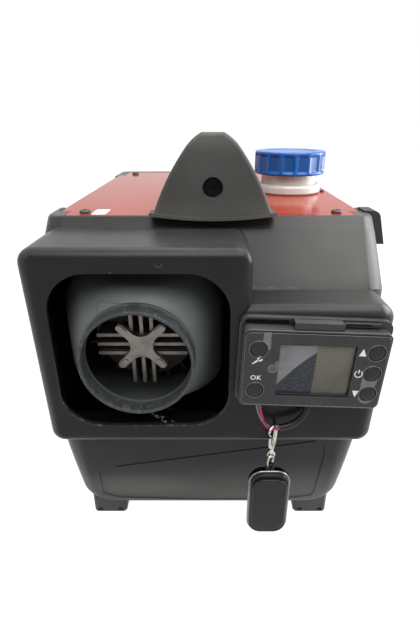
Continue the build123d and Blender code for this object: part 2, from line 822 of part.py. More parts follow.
# --- heat exchanger, burner, blower -------------------------------------------
nose_cap_y = jacket_front_y - 4.0
blade_pitch = 7.0
blade_width = 2.4
blade_reach = 31.0
star_arm = 22.5
star_thickness = 5.0
arm_width = 5.6

with BuildPart() as heat_exchanger:
    with BuildSketch(front_plane(exchanger_rear_y)):
        with Locations((outlet_x, outlet_z)):
            Circle(exchanger_radius)
    extrude(amount=exchanger_rear_y - nose_cap_y)
    # fins along the body
    with BuildSketch(front_plane(exchanger_rear_y - 10)):
        with Locations((outlet_x, outlet_z)):
            with PolarLocations((exchanger_radius + fin_radius) / 2 - 0.5, fin_count):
                Rectangle(fin_radius - exchanger_radius + 1, fin_width)
    extrude(amount=exchanger_rear_y - 10 - jacket_front_y - 6)
    # rear flange with a bar that rests on the jacket's sides
    with BuildSketch(front_plane(exchanger_rear_y)):
        with Locations((outlet_x, outlet_z)):
            Circle(blower_radius)
            Rectangle(jacket_width - 2 * jacket_wall, 18.0)
    extrude(amount=6.0)
    # blades and star in the outlet
    with BuildSketch(front_plane(nose_cap_y)):
        with Locations((outlet_x, outlet_z)):
            with GridLocations(blade_pitch, 0, 3, 1):
                Rectangle(blade_width, 2 * blade_reach)
            with GridLocations(0, blade_pitch, 1, 3):
                Rectangle(2 * blade_reach, blade_width)
    extrude(amount=nose_cap_y - star_y - star_thickness + 1.0)
    with BuildSketch(front_plane(star_y + star_thickness)) as star:
        with Locations((outlet_x, outlet_z)):
            Rectangle(2 * star_arm, arm_width, rotation=45)
            Rectangle(arm_width, 2 * star_arm, rotation=45)
        middle = Vector(outlet_x, outlet_z, 0)
        fillet(star.vertices().sort_by_distance(middle)[:4], radius=9.0)
        fillet(star.vertices().sort_by_distance(middle)[-8:], radius=2.4)
    extrude(amount=star_thickness)
    # raised pads on the ends of the arms
    with BuildSketch(front_plane(star_y + 1.0)):
        with Locations((outlet_x, outlet_z)):
            with PolarLocations(star_arm - 4.2, 4, start_angle=45):
                SlotOverall(7.6, 3.8)
    extrude(amount=2.0)
    # hollow for the burner and the fire gases
    with BuildSketch(front_plane(exchanger_rear_y)):
        with Locations((outlet_x, outlet_z)):
            Circle(exchanger_radius - exchanger_wall)
    extrude(amount=exchanger_rear_y - nose_cap_y - 4.0, mode=Mode.SUBTRACT)
    # exhaust port underneath
    with BuildSketch(Plane.XY.offset(core_port_z)):
        with Locations((outlet_x, exhaust_y)):
            Circle(exhaust_radius)
    extrude(amount=outlet_z - exchanger_radius - core_port_z + 4)
    with BuildSketch(Plane.XY.offset(core_port_z)):
        with Locations((outlet_x, exhaust_y)):
            Circle(exhaust_radius - pipe_wall)
    extrude(amount=outlet_z - exchanger_radius - core_port_z + 12, mode=Mode.SUBTRACT)
save(heat_exchanger.part, "heat_exchanger")

with BuildPart() as burner_tube:
    with BuildSketch(front_plane(exchanger_rear_y)):
        with Locations((outlet_x, outlet_z)):
            Circle(burner_radius)
            Circle(burner_radius - 1.5, mode=Mode.SUBTRACT)
    extrude(amount=130.0)
    # air holes round the tube
    for hole_y in (-70.0, -50.0, -30.0):
        with BuildSketch(Plane.XY.offset(outlet_z)):
            with Locations((outlet_x, hole_y)):
                Circle(3.0)
        extrude(amount=burner_radius + 1, both=True, mode=Mode.SUBTRACT)
save(burner_tube.part, "burner_tube")

impeller_cell_front = 52.0
impeller_cell_rear = 66.0
plug_radius = 4.0
with BuildPart() as blower_housing:
    with BuildSketch(front_plane(blower_rear_y)):
        with Locations((outlet_x, outlet_z)):
            Circle(blower_radius)
    extrude(amount=blower_rear_y - exchanger_rear_y)
    with BuildSketch(Plane.XY.offset(core_port_z)):
        with Locations((outlet_x, air_pipe_y)):
            Circle(air_pipe_radius)
    extrude(amount=outlet_z - 30.0 - core_port_z)
    with BuildSketch(front_plane(impeller_cell_rear)):
        with Locations((outlet_x, outlet_z)):
            Circle(impeller_radius + 4.0)
    extrude(amount=impeller_cell_rear - impeller_cell_front, mode=Mode.SUBTRACT)
    with BuildSketch(front_plane(impeller_cell_front)):
        with Locations((outlet_x, outlet_z)):
            Circle(10.0)
    extrude(amount=impeller_cell_front - exchanger_rear_y, mode=Mode.SUBTRACT)
    with BuildSketch(front_plane(blower_rear_y)):
        with Locations((outlet_x, outlet_z)):
            Circle(shaft_radius + 2.0)
    extrude(amount=blower_rear_y - impeller_cell_rear, mode=Mode.SUBTRACT)
    with BuildSketch(Plane.XY.offset(core_port_z)):
        with Locations((outlet_x, air_pipe_y)):
            Circle(air_pipe_radius - pipe_wall - 4.5)
    extrude(amount=outlet_z - 20.0 - core_port_z, mode=Mode.SUBTRACT)
    with BuildSketch(Plane.XY.offset(outlet_z + 12.0)):
        with Locations((outlet_x, fuel_entry_y)):
            Circle(plug_radius)
    extrude(amount=blower_radius, mode=Mode.SUBTRACT)
save(blower_housing.part, "blower_housing")

with BuildPart() as glow_plug:
    with BuildSketch(Plane.XY.offset(outlet_z + 14.0)):
        with Locations((outlet_x, fuel_entry_y)):
            Circle(plug_radius - 0.05)
    extrude(amount=blower_radius - 14.0)
    with BuildSketch(Plane.XY.offset(outlet_z + blower_radius)):
        with Locations((outlet_x, fuel_entry_y)):
            RegularPolygon(6.0, 6)
    extrude(amount=2.5)
save(glow_plug.part, "glow_plug")

motor_front_y = blower_rear_y
motor_rear_y = motor_front_y + motor_length
with BuildPart() as motor:
    with BuildSketch(front_plane(motor_rear_y)):
        with Locations((outlet_x, outlet_z)):
            Circle(motor_radius)
    extrude(amount=motor_length)
    chamfer(motor.edges().group_by(Axis.Y)[-1], length=2.0)
    with BuildSketch(front_plane(motor_rear_y)):
        with Locations((outlet_x, outlet_z)):
            Circle(shaft_radius + shaft_running_gap)
    extrude(amount=motor_length, mode=Mode.SUBTRACT)
save(motor.part, "motor")

shaft_front_y = 53.5
shaft_rear_y = fan_y + 14.0
with BuildPart() as rotor_shaft:
    with BuildSketch(front_plane(shaft_rear_y)):
        with Locations((outlet_x, outlet_z)):
            Circle(shaft_radius)
    extrude(amount=shaft_rear_y - shaft_front_y)
save(rotor_shaft.part, "rotor_shaft")

with BuildPart() as burner_impeller:
    with BuildSketch(front_plane(impeller_y + 5.0)):
        with Locations((outlet_x, outlet_z)):
            Circle(impeller_radius)
    extrude(amount=2.0)
    with BuildSketch(front_plane(impeller_y + 3.0)):
        with Locations((outlet_x, outlet_z)):
            Circle(8.0)
            with PolarLocations(21.0, 12):
                Rectangle(17.0, 1.6, rotation=28)
    extrude(amount=7.0)
    with BuildSketch(front_plane(impeller_y + 5.0)):
        with Locations((outlet_x, outlet_z)):
            Circle(shaft_radius)
    extrude(amount=10.0, mode=Mode.SUBTRACT)
save(burner_impeller.part, "burner_impeller")

fan_hub_radius = 14.0
fan_depth = 16.0
fan_blade_pitch = 38.0
with BuildPart(front_plane(fan_y)) as fan_wheel:
    with Locations((outlet_x, outlet_z, 0)):
        Cylinder(fan_hub_radius, fan_depth)
        with PolarLocations((fan_hub_radius + fan_radius) / 2 - 1, fan_blades):
            Box(fan_radius - fan_hub_radius + 2, 20.0, 1.6, rotation=(fan_blade_pitch, 0, 0))
    with BuildSketch(front_plane(fan_y + fan_depth)):
        with Locations((outlet_x, outlet_z)):
            Circle(fan_radius)
    extrude(amount=2 * fan_depth, mode=Mode.INTERSECT)
    with BuildSketch(front_plane(fan_y + fan_depth)):
        with Locations((outlet_x, outlet_z)):
            Circle(shaft_radius)
    extrude(amount=2 * fan_depth, mode=Mode.SUBTRACT)
save(fan_wheel.part, "fan_wheel")

cradle_thickness = 2.0
cradle_places = [-110.0, 96.0]
with BuildPart() as core_cradle:
    for y in cradle_places:
        with BuildSketch(front_plane(y)) as cradle:
            tall = outlet_z - jacket_height / 2 - floor_top_z
            with Locations((outlet_x, floor_top_z + tall / 2)):
                Rectangle(jacket_width - 2 * jacket_corner, tall)
                RectangleRounded(30.0, tall - 30.0, 6.0, mode=Mode.SUBTRACT)
        extrude(amount=cradle_thickness)
    with BuildSketch(Plane.XY.offset(floor_top_z)):
        for x in (outlet_x - 24.0, outlet_x + 24.0):
            with Locations((x, sum(cradle_places) / 2)):
                Rectangle(8.0, cradle_places[1] - cradle_places[0])
    extrude(amount=cradle_thickness)
save(core_cradle.part, "core_cradle")

# --- exhaust and combustion-air pipes -----------------------------------------


def bent_pipe(y, exit_z, radius, wall):
    with BuildPart() as form:
        with BuildLine() as route:
            FilletPolyline(
                (outlet_x, y, core_port_z),
                (outlet_x, y, exit_z),
                (pipe_end_x, y, exit_z),
                radius=pipe_bend,
            )
        with BuildSketch(Plane(origin=route.line @ 0, z_dir=route.line % 0)):
            Circle(radius)
            Circle(radius - wall, mode=Mode.SUBTRACT)
        sweep()
        # bead outside the casing that the pipe seats on, and where a hose stops
        with BuildSketch(Plane.YZ.offset(-case_half_width)):
            with Locations((y, exit_z)):
                Circle(radius + 2 * port_gap)
                Circle(radius - wall / 2, mode=Mode.SUBTRACT)
        extrude(amount=-bead_width)
    return form.part


with BuildPart() as exhaust_pipe:
    add(bent_pipe(exhaust_y, exhaust_exit_z, exhaust_radius, pipe_wall))
save(exhaust_pipe.part, "exhaust_pipe")
with BuildPart() as air_pipe:
    add(bent_pipe(air_pipe_y, air_pipe_exit_z, air_pipe_radius, pipe_wall))
save(air_pipe.part, "air_pipe")

# --- fuel tank, neck ring and cap ---------------------------------------------
tank_corner = 14.0
tank_lower_radius = casing_bend - 3.0
tank_length = tank_rear_y - tank_front_y
neck_top_z = cap_top_z - 4.0
nipple_x = tank_x - tank_width / 2 - 6.0
thread_gap = 0.5
cap_bore_radius = neck_radius + 3.9
liner_thickness = 1.0
cap_roof = 2.5



def tank_form(inset, high_z):
    # block with rounded upright corners, its long lower edges rounded to the casing's
    with BuildPart() as form:
        with BuildSketch(Plane.XY.offset(floor_top_z + inset)):
            with Locations((tank_x, (tank_front_y + tank_rear_y) / 2)):
                RectangleRounded(tank_width - 2 * inset, tank_length - 2 * inset, tank_corner - inset)
        extrude(amount=high_z - floor_top_z - inset)
        with BuildSketch(front_plane(tank_rear_y)) as section:
            with Locations((tank_x, (floor_top_z + inset + high_z) / 2)):
                Rectangle(tank_width - 2 * inset, high_z - floor_top_z - inset)
            fillet(section.vertices().group_by(Axis.Y)[0], radius=tank_lower_radius - inset)
        extrude(amount=tank_length, mode=Mode.INTERSECT)
    return form.part


with BuildPart() as fuel_tank:
    add(tank_form(0, tank_top_z))
    fillet(fuel_tank.edges().group_by(Axis.Z)[-1], radius=8.0)
    with BuildSketch(Plane.XY.offset(tank_top_z - tank_wall)):
        with Locations((neck_x, neck_y)):
            Circle(neck_radius)
    extrude(amount=neck_top_z - tank_top_z + tank_wall)
    # thread ridges under the cap
    for ridge_z in (neck_top_z - 12.0, neck_top_z - 6.0):
        with BuildSketch(Plane.XY.offset(ridge_z)):
            with Locations((neck_x, neck_y)):
                Circle(cap_bore_radius - thread_gap)
        extrude(amount=2.5)
    # nipple for the fuel line
    with BuildSketch(Plane.YZ.offset(nipple_x)):
        with Locations((pump_y, pump_z)):
            Circle(line_radius)
    extrude(amount=10.0)
    add(tank_form(tank_wall, tank_top_z - tank_wall - 4.0), mode=Mode.SUBTRACT)
    with BuildSketch(Plane.XY.offset(tank_top_z - 20.0)):
        with Locations((neck_x, neck_y)):
            Circle(neck_bore_radius)
    extrude(amount=neck_top_z - tank_top_z + 21.0, mode=Mode.SUBTRACT)
    with BuildSketch(Plane.YZ.offset(nipple_x)):
        with Locations((pump_y, pump_z)):
            Circle(line_bore)
    extrude(amount=12.0, mode=Mode.SUBTRACT)
save(fuel_tank.part, "fuel_tank")

ring_radius = 30.0
ring_height = 8.4
with BuildPart() as neck_ring:
    with BuildSketch(Plane.XY.offset(top_z)):
        with Locations((neck_x, neck_y)):
            Circle(ring_radius)
            Circle(neck_radius + fit_gap, mode=Mode.SUBTRACT)
    extrude(amount=ring_height)
    fillet(neck_ring.edges().group_by(Axis.Z)[-1].sort_by(SortBy.LENGTH)[-1], radius=2.6)
    fillet(neck_ring.edges().group_by(Axis.Z)[0].sort_by(SortBy.LENGTH)[-1], radius=2.0)
save(neck_ring.part, "neck_ring")

with BuildPart() as cap_liner:
    with BuildSketch(Plane.XY.offset(neck_top_z + fit_gap)):
        with Locations((neck_x, neck_y)):
            Circle(cap_bore_radius - fit_gap)
    extrude(amount=liner_thickness)
save(cap_liner.part, "cap_liner")

with BuildPart() as fuel_cap:
    with BuildSketch(Plane.XY.offset(cap_bottom_z)):
        with Locations((neck_x, neck_y)):
            Circle(cap_radius - 1.6)
    extrude(amount=cap_top_z - cap_bottom_z)
    with BuildSketch(Plane.XY.offset(cap_bottom_z)):
        with Locations((neck_x, neck_y)):
            with PolarLocations(cap_radius - 1.9, cap_flutes):
                RectangleRounded(3.8, 6.4, 1.2)
    extrude(amount=cap_top_z - cap_bottom_z)
    fillet(fuel_cap.edges().group_by(Axis.Z)[-1], radius=0.9)
    with BuildSketch(Plane.XY.offset(cap_bottom_z)):
        with Locations((neck_x, neck_y)):
            Circle(cap_bore_radius)
    extrude(amount=neck_top_z + 2 * fit_gap + liner_thickness - cap_bottom_z, mode=Mode.SUBTRACT)
    # shallow dish in the top
    with BuildSketch(Plane.XY.offset(cap_top_z)):
        with Locations((neck_x, neck_y)):
            Circle(cap_radius - 7.0)
    extrude(amount=-0.7, mode=Mode.SUBTRACT)
save(fuel_cap.part, "fuel_cap")

# --- fuel pump, filter and line -----------------------------------------------
pump_wall_cap = 6.0
filter_length = 22.0
filter_radius = 10.0
plunger_rest_x = pump_x + 2.0  # left end of the plunger
hose_gap = 4.0

with BuildPart() as fuel_pump:
    with BuildSketch(Plane.YZ.offset(pump_x - pump_length / 2)):
        with Locations((pump_y, pump_z)):
            Circle(pump_radius)
    extrude(amount=pump_length)
    chamfer(fuel_pump.edges(), length=1.5)
    with BuildSketch(Plane.YZ.offset(pump_x - pump_length / 2 - 5.0)):
        with Locations((pump_y, pump_z)):
            Circle(line_radius)
    extrude(amount=pump_length + 10.0)
    with BuildSketch(Plane.YZ.offset(pump_x - pump_length / 2 + pump_wall_cap)):
        with Locations((pump_y, pump_z)):
            Circle(plunger_radius + shaft_running_gap)
    extrude(amount=pump_length - 2 * pump_wall_cap, mode=Mode.SUBTRACT)
    with BuildSketch(Plane.YZ.offset(pump_x - pump_length / 2 - 6.0)):
        with Locations((pump_y, pump_z)):
            Circle(line_bore)
    extrude(amount=pump_length + 12.0, mode=Mode.SUBTRACT)
save(fuel_pump.part, "fuel_pump")

with BuildPart() as pump_plunger:
    with BuildSketch(Plane.YZ.offset(plunger_rest_x - plunger_length / 2)):
        with Locations((pump_y, pump_z)):
            Circle(plunger_radius)
            Circle(line_bore, mode=Mode.SUBTRACT)
    extrude(amount=plunger_length)
save(pump_plunger.part, "pump_plunger")

with BuildPart() as pump_mount:
    with BuildSketch(Plane.YZ.offset(pump_x - 8.0)):
        with Locations((pump_y, pump_z)):
            Circle(pump_radius + 4.0)
        with Locations((pump_y, (pump_z + floor_top_z) / 2)):
            Rectangle(14.0, pump_z - floor_top_z)
        with Locations((pump_y, floor_top_z + 1.5)):
            Rectangle(44.0, 3.0)
        with Locations((pump_y, pump_z)):
            Circle(pump_radius + 0.1, mode=Mode.SUBTRACT)
    extrude(amount=16.0)
save(pump_mount.part, "pump_mount")

pump_port_x = pump_x + pump_length / 2 + 5.0
filter_x = nipple_x - hose_gap - filter_length / 2
with BuildPart() as fuel_filter:
    with BuildSketch(Plane.YZ.offset(filter_x - filter_length / 2)):
        with Locations((pump_y, pump_z)):
            Circle(filter_radius)
    extrude(amount=filter_length)
    fillet(fuel_filter.edges(), radius=3.0)
save(fuel_filter.part, "fuel_filter")

with BuildPart() as fuel_line:
    # tank to filter, then filter to pump
    for start_x, end_x in (
        (filter_x + filter_length / 2, nipple_x),
        (pump_port_x, filter_x - filter_length / 2),
    ):
        with BuildSketch(Plane.YZ.offset(start_x)):
            with Locations((pump_y, pump_z)):
                Circle(line_radius)
                Circle(line_bore, mode=Mode.SUBTRACT)
        extrude(amount=end_x - start_x)
    # pump to burner, low along the left side and up into the jacket
    with BuildLine() as burner_route:
        FilletPolyline(
            (pump_x - pump_length / 2 - 5.0, pump_y, pump_z),
            (-102.0, pump_y, pump_z),
            (-102.0, pump_y, 28.0),
            (-102.0, fuel_entry_y, 28.0),
            (fuel_entry_x, fuel_entry_y, 28.0),
            (fuel_entry_x, fuel_entry_y, outlet_z - blower_radius + 6.0),
            radius=9.0,
        )
    with BuildSketch(Plane(origin=burner_route.line @ 0, z_dir=burner_route.line % 0)):
        Circle(line_radius)
        Circle(line_bore, mode=Mode.SUBTRACT)
    sweep(path=burner_route.line)
    add(blower_housing.part, mode=Mode.SUBTRACT)
save(fuel_line.part, "fuel_line")

with BuildPart() as control_unit:
    with BuildSketch(Plane.XY.offset(floor_top_z)):
        with Locations((outlet_x, 118.0)):
            RectangleRounded(84.0, 34.0, 3.0)
    extrude(amount=44.0)
    with BuildSketch(Plane.XY.offset(floor_top_z + 44.0)):
        with Locations((outlet_x, 118.0)):
            with GridLocations(10.0, 0, 8, 1):
                Rectangle(2.0, 30.0)
    extrude(amount=8.0)
save(control_unit.part, "control_unit")

# --- controller ---------------------------------------------------------------
face_thickness = 0.8
case_depth = 7.8
case_front_y = controller_face_y + face_thickness
case_back_y = case_front_y + case_depth
back_margin_x = 2.0
back_low_v = -30.0
back_high_v = 33.0
window_width = 48.0
window_height = 36.5
window_u = 0.8
case_wall = 1.8
button_collar = 0.9
button_column = controller_width / 2 - case_wall - button_radius - button_collar - 2 * fit_gap
button_places = {
    "button_settings": (1.5 - button_column, 14.9),
    "button_ok": (1.5 - button_column, -15.2),
    "button_up": (button_column, 14.8),
    "button_power": (button_column - 0.2, -0.4),
    "button_down": (button_column - 0.3, -15.7),
}


def controller_plane(y):
    # upright plane in the controller's rolled axes, centred on its face
    return Plane(
        origin=(controller_x, y, controller_z),
        x_dir=Vector(1, 0, 0).rotate(Axis.Y, -controller_roll),
        z_dir=(0, -1, 0),
    )


with BuildPart() as controller_back:
    back_height = back_high_v - back_low_v
    with BuildSketch(controller_plane(nose_y)):
        with Locations((0, (back_high_v + back_low_v) / 2)):
            RectangleRounded(controller_width + 2 * back_margin_x, back_height, 6.0)
    extrude(amount=nose_y - case_back_y)
    # centre clip that reaches over the case, and the slotted lug beside it
    with BuildSketch(controller_plane(nose_y)):
        with Locations((0.3, back_high_v - 2.5)):
            RectangleRounded(31.0, 4.4, 1.0)
    extrude(amount=nose_y - case_front_y - 1.5)
    with BuildSketch(controller_plane(nose_y)):
        with Locations((28.2, back_high_v - 2.4)):
            RectangleRounded(24.0, 2.6, 1.0)
    extrude(amount=nose_y - case_back_y + 2.5)
    with BuildSketch(controller_plane(nose_y - 1.5)):
        with Locations((25.5, back_high_v - 2.4)):
            RectangleRounded(16.0, 1.2, 0.5)
    extrude(amount=8.0, mode=Mode.SUBTRACT)
    # hollow behind the case's left half, with a rounded end at the clip
    with BuildSketch(controller_plane(nose_y - 1.2)):
        with Locations((-31.2, back_high_v - 3.6)):
            RectangleRounded(27.6, 4.6, 1.6)
    extrude(amount=8.0, mode=Mode.SUBTRACT)
save(controller_back.part, "controller_back")

with BuildPart() as controller_front:
    with BuildSketch(controller_plane(case_back_y)):
        RectangleRounded(controller_width, controller_height, 4.5)
    extrude(amount=case_back_y - case_front_y)
    fillet(controller_front.faces().sort_by(Axis.Y)[0].edges(), radius=0.7)
    with BuildSketch(controller_plane(case_back_y)):
        RectangleRounded(controller_width - 2 * case_wall, controller_height - 2 * case_wall, 3.0)
    extrude(amount=case_back_y - case_front_y - 1.5, mode=Mode.SUBTRACT)
    with BuildSketch(controller_plane(case_back_y)):
        with Locations((window_u, 0)):
            Rectangle(window_width, window_height)
        with Locations(*button_places.values()):
            Circle(button_radius + button_gap)
    extrude(amount=2 * case_depth, mode=Mode.SUBTRACT)
save(controller_front.part, "controller_front")

with BuildPart() as controller_lens:
    with BuildSketch(controller_plane(case_front_y)):
        RectangleRounded(controller_width - 3.0, controller_height - 3.0, 3.5)
        with Locations(*button_places.values()):
            Circle(button_radius + button_gap, mode=Mode.SUBTRACT)
    extrude(amount=face_thickness)
save(controller_lens.part, "controller_lens")

with BuildPart() as lcd_panel:
    with BuildSketch(controller_plane(case_front_y + 3.5)):
        with Locations((window_u, 0)):
            Rectangle(window_width + 3.0, window_height + 3.0)
    extrude(amount=2.0)
save(lcd_panel.part, "lcd_panel")

with BuildPart() as controller_board:
    with BuildSketch(controller_plane(case_back_y)):
        board_width = controller_width - 2 * case_wall - 2 * fit_gap
        board_height = controller_height - 2 * case_wall - 2 * fit_gap
        RectangleRounded(board_width, board_height, 3.0)
    extrude(amount=1.4)
save(controller_board.part, "controller_board")

for button_name, place in button_places.items():
    with BuildPart() as button:
        with BuildSketch(controller_plane(case_front_y + 2.2)):
            with Locations(place):
                Circle(button_radius)
        extrude(amount=2.2 + face_thickness + 0.6)
        fillet(button.faces().sort_by(Axis.Y)[0].edges(), radius=0.5)
        # collar behind the wall keeps the button in
        with BuildSketch(controller_plane(case_front_y + 3.6)):
            with Locations(place):
                Circle(button_radius + button_collar)
        extrude(amount=1.8)
    save(button.part, button_name)

# --- lead: two thin wires and a dark sleeve that loop out and back -------------
# free cords, each a list of points from end to end, straight at both ends
sleeve_points = [
    (48.6, -195.0, 152.9),
    (54.9, -195.0, 154.2),
    (60.5, -194.2, 157.3),
    (64.8, -192.9, 161.8),
    (67.4, -191.6, 166.7),
    (68.5, -190.8, 171.2),
]
red_points = [
    (48.5, -196.0, 152.87),
    (43.5, -196.0, 151.7),
    (38.9, -196.0, 154.3),
    (36.7, -196.2, 159.5),
    (34.9, -196.4, 165.2),
    (33.9, -196.5, 170.4),
    (33.7, -196.5, 174.9),
]
grey_points = [
    (48.5, -194.0, 152.87),
    (43.5, -194.0, 151.7),
    (38.5, -194.0, 154.5),
    (35.6, -194.1, 159.7),
    (33.2, -194.3, 165.4),
    (31.9, -194.4, 170.6),
    (31.6, -194.5, 174.9),
]


def cord_radii(points):
    # an arc at each corner, as large as its two runs allow
    vectors = [Vector(*point) for point in points]
    radii = []
    for before, here, after in zip(vectors, vectors[1:], vectors[2:]):
        first = here - before
        second = after - here
        half_turn = radians(first.get_angle(second)) / 2
        radii.append(0.45 * min(first.length, second.length) / tan(half_turn))
    return radii


def cord_tube(points, diameter, label):
    radii = cord_radii(points)
    with BuildPart() as tube:
        with BuildLine() as route:
            FilletPolyline(*points, radius=radii)
        with BuildSketch(Plane(origin=route.line @ 0, z_dir=route.line % 0)):
            Circle(diameter / 2)
        sweep()
    length = sum(edge.length for edge in route.edges())
    section = pi * diameter**2 / 4
    print(label, "length", round(length, 2), "radii", [round(r, 1) for r in radii])
    print(label, "volume ratio", round(tube.part.volume / (section * length), 4))
    return tube.part


with BuildPart() as lead_sleeve:
    add(cord_tube(sleeve_points, sleeve_diameter, "lead_sleeve"))
save(lead_sleeve.part, "lead_sleeve")
with BuildPart() as red_wire:
    add(cord_tube(red_points, wire_diameter, "red_wire"))
save(red_wire.part, "red_wire")
with BuildPart() as grey_wire:
    add(cord_tube(grey_points, wire_diameter, "grey_wire"))
save(grey_wire.part, "grey_wire")

# --- clasp, link and key fob, hanging from the wires --------------------------
side_plane = Plane.YZ.offset(hang_x)
wire_low_z = 152.1  # middle of the wires where the clasp hangs
wire_apart = 1.0  # each wire's distance from the clasp's middle plane
hook_radius = 4.4
hook_rod = 1.0
hook_top_gap = 0.3
hook_reach = hook_radius - hook_rod - wire_diameter / 2 - hook_top_gap
hook_z = wire_low_z - (hook_reach**2 - wire_apart**2) ** 0.5
gate_low_angle = 232.0
gate_high_angle = 184.0
gate_rod = 0.8
gate_knuckle = 0.95
clasp_eye_z = 128.6
eye_radius = 1.6
link_rod = 0.8
link_radius = 5.0
link_gap = 0.3
link_z = clasp_eye_z - eye_radius + link_gap + link_rod - link_radius

with BuildPart() as clasp_hook:
    # hook, open at the front where the gate closes it
    with BuildLine(side_plane) as hook_route:
        CenterArc((hang_y, hook_z), hook_radius, -90, 262)
    with BuildSketch(Plane(origin=hook_route.line @ 0, z_dir=hook_route.line % 0)):
        Circle(hook_rod)
    sweep()
    # body with a waist above the eye
    body_top_z = hook_z - hook_radius + 0.6
    with BuildSketch(Plane.XY.offset(clasp_eye_z + 5.0)) as low:
        with Locations((hang_x, hang_y)):
            RectangleRounded(3.6, 3.4, 1.6)
    with BuildSketch(Plane.XY.offset(clasp_eye_z + 11.0)) as middle:
        with Locations((hang_x, hang_y)):
            RectangleRounded(5.6, 4.2, 2.0)
    with BuildSketch(Plane.XY.offset(body_top_z)) as high:
        with Locations((hang_x, hang_y)):
            RectangleRounded(4.2, 3.4, 1.6)
    loft()
    with BuildSketch(Plane.XY.offset(clasp_eye_z + 2.0)):
        with Locations((hang_x, hang_y)):
            Circle(1.1)
    extrude(amount=3.6)
    with BuildSketch(front_plane(hang_y + 1.0)):
        with Locations((hang_x, clasp_eye_z)):
            Circle(eye_radius + 1.5)
            Circle(eye_radius, mode=Mode.SUBTRACT)
    extrude(amount=2.0)
save(clasp_hook.part, "clasp_hook")

with BuildPart() as clasp_gate:
    # straight spring gate that turns on a knuckle at its lower end
    gate_pivot = Vector(hang_x, hang_y, hook_z)
    gate_pivot += Vector(0, cos(radians(gate_low_angle)), sin(radians(gate_low_angle))) * hook_radius
    gate_tip = Vector(hang_x, hang_y, hook_z)
    gate_tip += Vector(0, cos(radians(gate_high_angle)), sin(radians(gate_high_angle))) * hook_radius
    with BuildSketch(Plane(origin=gate_pivot, z_dir=gate_tip - gate_pivot)):
        Circle(gate_rod)
    extrude(amount=(gate_tip - gate_pivot).length)
    with BuildSketch(Plane(origin=gate_pivot, x_dir=(0, 1, 0), z_dir=(1, 0, 0))):
        Circle(gate_knuckle)
    extrude(amount=1.3, both=True)
save(clasp_gate.part, "clasp_gate")

with BuildPart() as clasp_link:
    with BuildLine(side_plane) as link_route:
        CenterArc((hang_y, link_z), link_radius, 0, 360)
    with BuildSketch(Plane(origin=link_route.line @ 0, z_dir=link_route.line % 0)):
        Circle(link_rod)
    sweep()
save(clasp_link.part, "clasp_link")

lug_hole_z = link_z - link_radius + link_rod + link_gap - eye_radius
fob_middle_z = fob_top_z - fob_length / 2
fob_front_y = hang_y - fob_thickness / 2
fob_corner = 11.0
frame_wall = 1.3
frame_depth = 4.6
fob_case_width = fob_width - 2 * frame_wall
fob_case_length = fob_length - 2 * frame_wall
cover_thickness = 1.8
cover_gap = 0.3
cover_width = 25.5
cover_length = 50.0
cover_top_z = fob_top_z - 4.5
cover_travel = 26.0
rib_length = 18.0
rib_drop = 6.5  # from the cover's top edge down to the rib
rib_width = 3.0
rib_depth = 1.4
rib_gap = 0.15
fob_button_radius = 3.2
fob_button_places = {
    "fob_button_on": (-6.2, fob_top_z - 18.0),
    "fob_button_off": (6.2, fob_top_z - 18.0),
    "fob_button_plus": (-6.2, fob_top_z - 26.5),
    "fob_button_minus": (6.2, fob_top_z - 26.5),
}
slot_depth = 1.8
fob_button_room = 0.6  # behind each button

with BuildPart() as fob_case:
    with BuildSketch(front_plane(hang_y + fob_thickness / 2)):
        with Locations((hang_x, fob_middle_z)):
            RectangleRounded(fob_case_width, fob_case_length, fob_corner - frame_wall)
    extrude(amount=fob_thickness)
    fillet(fob_case.edges().group_by(Axis.Y)[0], radius=1.2)
    fillet(fob_case.edges().group_by(Axis.Y)[-1], radius=1.2)
    # lug for the link
    with BuildSketch(front_plane(hang_y + 1.0)):
        with Locations((hang_x, lug_hole_z)):
            Circle(eye_radius + 1.5)
        with Locations((hang_x, lug_hole_z - 2.5)):
            Rectangle(2 * eye_radius + 3.0, 5.0)
        with Locations((hang_x, lug_hole_z)):
            Circle(eye_radius, mode=Mode.SUBTRACT)
    extrude(amount=2.0)
    # slot for the cover's rib and wells for the buttons
    with BuildSketch(front_plane(fob_front_y)):
        groove_length = cover_travel + rib_length + 2 * fit_gap
        with Locations((hang_x, cover_top_z - rib_drop + fit_gap - groove_length / 2)):
            Rectangle(rib_width + 2 * rib_gap, groove_length)
        with Locations(*[(hang_x + dx, z) for dx, z in fob_button_places.values()]):
            Circle(fob_button_radius + button_gap)
    extrude(amount=-slot_depth, mode=Mode.SUBTRACT)
save(fob_case.part, "fob_case")

with BuildPart() as fob_frame:
    with BuildSketch(front_plane(hang_y + frame_depth / 2)):
        with Locations((hang_x, fob_middle_z)):
            RectangleRounded(fob_width, fob_length, fob_corner)
    extrude(amount=frame_depth)
    fillet(fob_frame.edges().group_by(Axis.Y)[0], radius=1.0)
    fillet(fob_frame.edges().group_by(Axis.Y)[-1], radius=1.0)
    with BuildSketch(front_plane(hang_y + frame_depth)):
        with Locations((hang_x, fob_middle_z)):
            RectangleRounded(fob_case_width, fob_case_length, fob_corner - frame_wall)
    extrude(amount=2 * frame_depth, mode=Mode.SUBTRACT)
    add(fob_case.part, mode=Mode.SUBTRACT)
save(fob_frame.part, "fob_frame")

with BuildPart() as fob_cover:
    cover_back_y = fob_front_y - cover_gap
    with BuildSketch(front_plane(cover_back_y)):
        with Locations((hang_x, cover_top_z - cover_length / 2)):
            RectangleRounded(cover_width, cover_length, 8.5)
    extrude(amount=cover_thickness)
    fillet(fob_cover.faces().sort_by(Axis.Y)[0].edges(), radius=1.0)
    with BuildSketch(front_plane(cover_back_y)):
        with Locations((hang_x, cover_top_z - rib_drop - rib_length / 2)):
            Rectangle(rib_width, rib_length)
    extrude(amount=-cover_gap - rib_depth)
save(fob_cover.part, "fob_cover")

